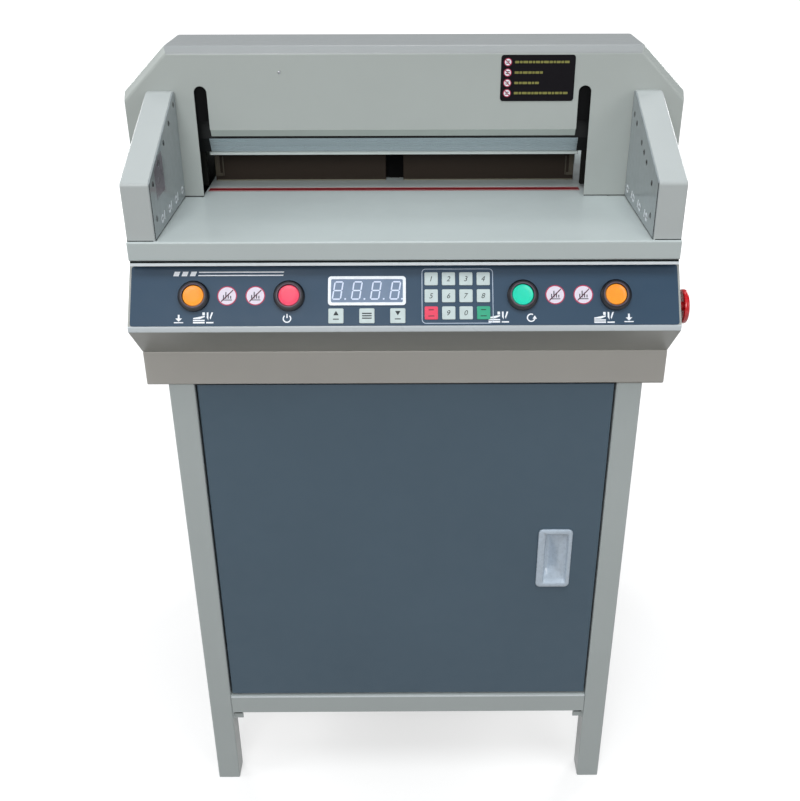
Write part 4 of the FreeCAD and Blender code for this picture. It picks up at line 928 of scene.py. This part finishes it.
def figure(text, height, x, y, low, high, lean=0.25):
    """Printed numeral: its outline as a thin solid, scaled to a height and centred on (x, y)."""
    curve = bpy.data.curves.new("numeral", "FONT")
    curve.body = text
    curve.shear = lean
    curve.resolution_u = 4
    curve.extrude = 0.01
    holder = bpy.data.objects.new("numeral", curve)
    mesh = bpy.data.meshes.new_from_object(holder)
    verts = np.array([v.co for v in mesh.vertices], float)
    faces = [list(f.vertices) for f in mesh.polygons]
    bpy.data.objects.remove(holder)
    bpy.data.meshes.remove(mesh)
    bpy.data.curves.remove(curve)
    lo, hi = verts.min(0), verts.max(0)
    scale = height / (hi[1] - lo[1])
    flat = (verts[:, :2] - (lo[:2] + hi[:2]) / 2) * scale + [x, y]
    level = np.where(verts[:, 2] > 0, high, low)
    return np.concatenate([flat, level[:, None]], 1), faces


def key_place(i):
    return PAD_X + (i % 4 - 1.5) * 18.8, PAD_ROW - (i // 4 - 1) * 18.8


def legend(key, parts):
    made_of("legend_" + key, placed(parts, panel), "key_" + key, SLOT_OF["pad_key_" + key], DARK_INK)


def key_marks(outlines):
    return [slab(outline, KEY_TOP, KEY_TOP + INK) for outline in outlines]


KEYS = ["1", "2", "3", "4", "5", "6", "7", "8", "clear", "9", "0", "enter"]
for i, key in enumerate(KEYS):
    x, y = key_place(i)
    if len(key) == 1:
        legend(key, [figure(key, 5.6, x, y, KEY_TOP, KEY_TOP + INK)])
    else:
        legend(key, key_marks([rounded(w, 0.9, 0.3, x, y + up) for w, up in ((5.6, 3.4), (6.6, -3.4))]))

MENU_ROW = -(OVERLAY_HEIGHT - 10.75)
MENU_PITCH = 33.3
for i, (key, tip) in enumerate((("up", 1), ("mode", 0), ("down", -1))):
    x, y = DISPLAY_X + (i - 1) * MENU_PITCH, MENU_ROW
    if tip:
        arrow = np.array([(-2.9, -2.3 * tip), (2.9, -2.3 * tip), (0, 2.7 * tip)])
        outlines = [shifted(arrow[::tip], x, y + 2.9), rounded(6.4, 1.1, 0.4, x, y - 3.6)]
    else:
        outlines = [rounded(10.5, 1.3, 0.5, x, y + up) for up in (2.6, 0, -2.6)]
    legend(key, key_marks(outlines))

# Black plate on the head, with plain dots and broken lines, and a screw

PLATE_X, PLATE_Z = 152.1, 138.5
PLATE_THICK = 0.5
laid("head_plate", [rounded(84.4, 51.6, 3.4, PLATE_X, PLATE_Z)], 0, PLATE_THICK, head_face,
     "machine", "head_paint", LABEL_BLACK)
PLATE_ROWS = {156.4: 62.0, 144.8: 36.5, 133.2: 28.5, 121.8: 65.5}


def broken_line(x0, length, y, high):
    """Row of short rounded dashes whose lengths follow a fixed beat."""
    beat = (4.6, 3.1, 5.4, 3.8, 2.6)
    dashes = []
    x = x0
    while x + beat[len(dashes) % 5] <= x0 + length:
        dash = beat[len(dashes) % 5]
        dashes.append(rounded(dash, high, 0.35, x + dash / 2, y, 3))
        x += dash + 0.8
    return dashes


def on_plate(name, outlines, material, low=PLATE_THICK):
    laid(name, outlines, low, low + INK, head_face, "machine", "head_paint", material)


DOT_X = 117.6
on_plate("plate_dots", [circle(4.4, DOT_X, z, 32) for z in PLATE_ROWS], WHITE_INK)
on_plate("plate_dot_bars", [rounded(4.4, 1.0, 0.3, DOT_X, z + dz) for z in PLATE_ROWS for dz in (-1.1, 1.1)],
         DARK_INK, PLATE_THICK + INK)
rings = [band(circle(4.5, DOT_X, z, 32), circle(3.6, DOT_X, z, 32), PLATE_THICK, PLATE_THICK + 2 * INK)
         for z in PLATE_ROWS]
rings += [stroke([(114.8, z + 2.8), (120.4, z - 2.8)], 0.9, PLATE_THICK, PLATE_THICK + 3 * INK)
          for z in PLATE_ROWS]
made_of("plate_dot_rings", placed(rings, head_face), "machine", "head_paint", RED_INK)
on_plate("plate_lines", [dash for z, length in PLATE_ROWS.items()
                         for dash in broken_line(125.6, length, z, 2.6)], OLIVE_INK)


CROSS = 0.45


def cross_head(radius, height, place, centre):
    """Pan-head screw with a sunk cross: a low dome, and the cross as two bars of painted shade just proud of
    it.
    """
    dome = turning(domed(radius, height), place([*centre, 0]), place.out, 32)
    top = height + 0.04
    arms = [slab(rounded(2 * radius * CROSS, radius * 0.22, 0.1, *centre, 2), top - 0.5, top),
            slab(rounded(radius * 0.22, 2 * radius * CROSS, 0.1, *centre, 2), top - 0.5, top)]
    return dome, placed(arms, place)


def screws(name, radius, height, place, centres, slot):
    """A row of alike pan-head screws, and a piece for all their crosses."""
    domes, crosses = [], []
    for centre in centres:
        dome, arms = cross_head(radius, height, place, centre)
        domes.append(dome)
        crosses += arms
    made_of(name, domes, "machine", slot, M["screw_steel"], True)
    made_of(name + "_crosses", crosses, "machine", slot, DARK_LENS_AND_RECESS_SHADE)


screws("head_screw", 1.7, 0.8, head_face, [(-142.5, 145.6)], "head_paint")
screws("base_back_screws", 4.4, 2.2, back_face(520.0),
       [(x, z) for x in (-272, -92, 92, 272) for z in (-34, -124)], "body_paint")
screws("inlet_plate_screws", 3.2, 1.6, back_face(522.0),
       [(x, z) for x in (-134.5, -225.5) for z in (-71.5, -124.5)], "body_paint")
screws("shell_back_screws", 4.0, 2.0, back_face(505.0),
       [(x, z) for x in (-205, 0, 205) for z in (-200, -650)], "slate_paint")
BASE_SIDE = 290.0
for side, way in (("left", -1), ("right", 1)):
    screws("base_side_screws_" + side, 4.4, 2.2, face_frame((way * BASE_SIDE, 0, 0), (0, way, 0), (0, 0, 1)),
           [(way * y, z) for y in (46, 494) for z in (-42, -120)], "body_paint")

# Guards: lenses in the sensor holes, small white marks at the foot, a clear label

GUARD_RISE = (GUARD_TOP - GUARD_LOW) / (GUARD_SHOULDER - GUARD_FRONT)
LEFT_ROW = [18.9 + 32.3 * i for i in range(5)]
RIGHT_ROW = [32.8 + 32.3 * step for step in (0, 1, 1.5, 2, 3, 3.5)]


def sensor_points(row, drop, low):
    """Places of a row of sensors under the guard's slope, and the single one under it."""
    return [(y, GUARD_LOW + GUARD_RISE * (y - GUARD_FRONT) - drop) for y in row] + [(low, 20.0)]


LENS = [(0, -1.2), (2.5, -1.2), (2.5, -0.1), (3.3, -0.1), (3.3, 0.12), (2.9, 0.3), (2.4, 0.2),
        (1.3, -0.1), (0, -0.2)]
SENSORS = {"left": sensor_points(LEFT_ROW, 12.0, 18.9), "right": sensor_points(RIGHT_ROW, 22.5, 24.5)}
SLANT = [(-2.6, -4.6), (0.8, -4.6), (2.6, 4.6), (-0.8, 4.6)]
for side, row in SENSORS.items():
    place = guard_faces[side]
    way = 1 if side == "left" else -1
    made_of("sensor_lenses_" + side, [turning(LENS, place([way * y, z, 0]), place.out, 24) for y, z in row],
            "machine", "sensor_plate", DARK_LENS_AND_RECESS_SHADE, True)
    marks = []
    for y, z in ((42.0, 12.6), (77.0, 12.4), (111.5, 12.2), (146.0, 12.8)):
        outer, inner = (rounded(w, h, w / 2.1, way * y, z) for w, h in ((12.0, 9.4), (5.4, 3.6)))
        marks.append(band(outer, inner, 0, INK))
        if y < 140:
            marks.append(slab(shifted(SLANT, way * (y + 9.5), z + 1.2), 0, INK))
    made_of("guard_marks_" + side, placed(marks, place), "machine", "sensor_plate", WHITE_INK)

laid("guard_label", [[(29, 38), (69, 38), (69, 80), (56.2, 80), (29, 68.5)]], 0, INK,
     guard_faces["left"], "machine", "sensor_plate", CLEAR_TINT)

# Flush door pull

DOOR_FRONT = 21.0


def door_pull():
    """Rings of one rounded outline: up the rim's edge, over its face, then scaled towards the pocket's
    middle. The pocket's depth falls off at its left and upper walls and rises gently to the right."""
    centre = np.array([187.6, -434.0])
    steps = 10
    rim = [(rounded(43.0 - 2 * back, 90.0 - 2 * back, 6.0 - back, steps=steps), out)
           for back, out in ((0, 0.0), (0, 2.0), (0.35, 2.6), (1.0, 3.0))]
    mouth_centre = np.array([1.9, -0.4])
    mouth_size = np.array([30.0, 78.0])
    half = mouth_size / 2
    mouth = rounded(*mouth_size, 3.2, steps=steps) + mouth_centre
    rings = [levelled(outline, out) for outline, out in rim]
    rings.append(levelled(mouth * 1.012, 2.95))

    def smooth(t):
        t = np.clip(t, 0, 1)
        return t * t * (3 - 2 * t)

    for share in (1.0, 0.985, 0.96, 0.92, 0.86, 0.78, 0.68, 0.56, 0.44, 0.32, 0.2, 0.1, 0.03):
        ring = (mouth - mouth_centre) * share
        a = (ring[:, 0] / half[0] + 1) / 2
        b = (ring[:, 1] / half[1] + 1) / 2
        sunk = smooth(a / 0.07) * smooth((1 - b) / 0.035) * smooth(b / 0.24)
        sunk = sunk * (1 - smooth((a - 0.15) / 0.85))
        sunk = np.maximum(sunk, 0.32 * smooth((1 - share) / 0.12))
        rings.append(np.concatenate([ring + mouth_centre, (2.8 - 14.6 * sunk)[:, None]], 1))
    verts = np.concatenate(rings)
    verts[:, :2] += centre
    count = 4 * steps
    last = (len(rings) - 1) * count
    faces = ring_faces(len(rings), count) + [list(range(last, last + count))]
    place = front_face(DOOR_FRONT)
    made = piece("door_pull", place(verts) / 1000 + AT, faces, "door", "pull_plastic", smooth=True)
    wall = made.modifiers.new("wall", "SOLIDIFY")
    wall.thickness = 0.0014
    wall.offset = -1.0
    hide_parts("door_handle")


door_pull()

# Emergency stop: turned knob and the arrows printed on it

STOP = (0.0, 3.0, -77.0)
KNOB = [(0, 304.0), (15.9, 304.0), (15.9, 302.8), (17.4, 302.8), (18.5, 303.2), (18.95, 304.2),
        (18.95, 306.4), (18.5, 307.5), (17.4, 308.3), (15.4, 308.75), (12.0, 308.93), (8.0, 308.97),
        (0, 309.0)]
knob = made_of("stop_knob", [turning(KNOB, STOP, (1, 0, 0), 96)], body_of("estop_knob"), "stop_red",
               smooth=True)
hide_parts("estop_knob")
STOP_PRINT = 308.72
stop_face = face_frame((STOP_PRINT, STOP[1], STOP[2]), (0, 1, 0), (0, 0, 1))
arrows = []
for turn in (90, 210, 330):
    arrows.append(stroke(arc(11.4, turn, turn + 62, steps=14), 1.5, 0.0, 0.26))
    tip = arc(11.4, turn + 62, turn + 84, steps=2)
    side = (tip[0] / np.linalg.norm(tip[0])) * 2.2
    arrows.append(slab([tip[0] - side, tip[0] + side, tip[1]], 0.0, 0.26))
made_of("stop_arrows", placed(arrows, stop_face), body_of("estop_knob"), "stop_red", WHITE_INK)

# Floor, backdrop, lamps and camera


def stage_floor():
    """White floor: for the camera, gloss and glass it has a glow that grows away from the object, and
    keeps the object's shadow; for scattered light it is a mid grey, so that little comes back up."""
    size = 30.0
    corners = np.array([[-size, -size, 0], [size, -size, 0], [size, size, 0], [-size, size, 0]])
    mesh = bpy.data.meshes.new("floor")
    mesh.from_pydata((corners - [0, 0, 0.0005]).tolist(), [], [[0, 1, 2, 3]])
    floor = in_scene("floor", mesh)
    f = Finish("floor_white")
    f.feed("Base Color", f.blend(f.noise(3.0, 2.0), srgb(96, 91, 84), srgb(99, 94, 87)))
    f.fixed("Roughness", 0.9)
    f.fixed("Specular IOR Level", 0.1)
    pale = f.node("ShaderNodeBsdfDiffuse")
    pale.inputs["Color"].default_value = (0.5, 0.5, 0.5, 1.0)
    away = f.node("ShaderNodeVectorMath", operation="LENGTH")
    f.link(f.place, away.inputs[0])
    glow = f.node("ShaderNodeEmission")
    f.link(f.between(away.outputs["Value"], 1.0, 4.0, 0.56, 1.0), glow.inputs["Strength"])
    both = f.node("ShaderNodeAddShader")
    f.link(pale.outputs["BSDF"], both.inputs[0])
    f.link(glow.outputs["Emission"], both.inputs[1])
    path = f.node("ShaderNodeLightPath")
    seen = f.larger(path.outputs["Is Camera Ray"], path.outputs["Is Glossy Ray"])
    mix = f.node("ShaderNodeMixShader")
    f.link(f.larger(seen, path.outputs["Is Transmission Ray"]), mix.inputs["Fac"])
    f.link(f.shader.outputs["BSDF"], mix.inputs[1])
    f.link(both.outputs["Shader"], mix.inputs[2])
    f.link(mix.outputs["Shader"], f.tree.nodes["Material Output"].inputs["Surface"])
    mesh.materials.append(f.material)


def studio_world():
    """Even pale light from all sides; white where the camera looks past the floor."""
    world = bpy.data.worlds.new("studio")
    bpy.context.scene.world = world
    world.use_nodes = True
    n = Nodes(world.node_tree)
    n.tree.nodes.clear()
    mix = n.node("ShaderNodeMixShader")
    for i, (colour, strength) in enumerate((((0.96, 0.98, 1.0, 1.0), 0.235), ((1.0, 1.0, 1.0, 1.0), 1.0)), 1):
        light = n.node("ShaderNodeBackground")
        light.inputs["Color"].default_value = colour
        light.inputs["Strength"].default_value = strength
        n.link(light.outputs[0], mix.inputs[i])
    path = n.node("ShaderNodeLightPath")
    n.link(n.larger(path.outputs["Is Camera Ray"], path.outputs["Is Transmission Ray"]), mix.inputs[0])
    n.link(mix.outputs[0], n.node("ShaderNodeOutputWorld").inputs["Surface"])


def soft_lamp(name, place, target, size, power, colour=(1, 1, 1), glossy=True):
    lamp = bpy.data.lights.new(name, "AREA")
    lamp.shape = "RECTANGLE"
    lamp.size, lamp.size_y = size
    lamp.energy = power
    lamp.color = colour
    made = in_scene(name, lamp)
    aim = np.asarray(target, float) - np.asarray(place, float)
    back = -aim / np.linalg.norm(aim)
    side = np.cross([0, 0, 1.0], back)
    side /= np.linalg.norm(side)
    up = np.cross(back, side)
    turn = Matrix(np.array([side, up, back]).T.tolist()).to_4x4()
    made.matrix_world = Matrix.Translation(place) @ turn
    made.visible_glossy = glossy


# The camera as fitted to the photograph: millimetres, radians, and pixels of a picture this large
PHOTO_WIDTH, PHOTO_HEIGHT = 800.0, 801.0
CAMERA_PLACE = np.array([7.175, -999.572, 359.3996])
YAW, PITCH, ROLL = 0.0052, 0.4721, 0.0016
FOCAL = 993.9782
CENTRE_X, CENTRE_Y = 416.4351, 368.549
SENSOR_WIDTH = 36.0


def photo_camera():
    lens = bpy.data.cameras.new("photo_camera")
    lens.sensor_fit = "HORIZONTAL"
    lens.sensor_width = SENSOR_WIDTH
    lens.lens = FOCAL / PHOTO_WIDTH * SENSOR_WIDTH
    lens.shift_x = (PHOTO_WIDTH / 2 - CENTRE_X) / PHOTO_WIDTH
    lens.shift_y = (CENTRE_Y - PHOTO_HEIGHT / 2) / PHOTO_WIDTH
    camera = in_scene("photo_camera", lens)
    turn = (Matrix.Rotation(-YAW, 4, "Z") @ Matrix.Rotation(math.pi / 2 - PITCH, 4, "X")
            @ Matrix.Rotation(-ROLL, 4, "Z"))
    camera.matrix_world = Matrix.Translation(CAMERA_PLACE / 1000 + AT) @ turn
    bpy.context.scene.camera = camera


stage_floor()
studio_world()
soft_lamp("key", (-0.5, -3.2, 2.5), (0, 0, 0.6), (1.4, 1.4), 49.0)
soft_lamp("side", (-2.8, -0.6, 2.3), (0, 0, 0.7), (1.4, 1.4), 23.0)
soft_lamp("fill", (2.2, -2.0, 2.0), (0, 0, 0.6), (1.6, 1.6), 15.0)
soft_lamp("over", (0.0, -1.2, 3.4), (0, -0.2, 0.8), (1.8, 1.2), 40.0, (0.95, 0.985, 1.0), glossy=False)
soft_lamp("bends", (0.1, 1.2, 3.4), (0, 0, 0.8), (1.2, 0.5), 11.0)
soft_lamp("rear_left", (-2.2, 2.6, 1.7), (0, 0, 0.5), (1.5, 1.5), 42.0)
soft_lamp("rear_right", (2.4, 2.2, 1.7), (0, 0, 0.5), (1.5, 1.5), 52.0)
photo_camera()
bpy.context.scene.view_settings.view_transform = "Standard"
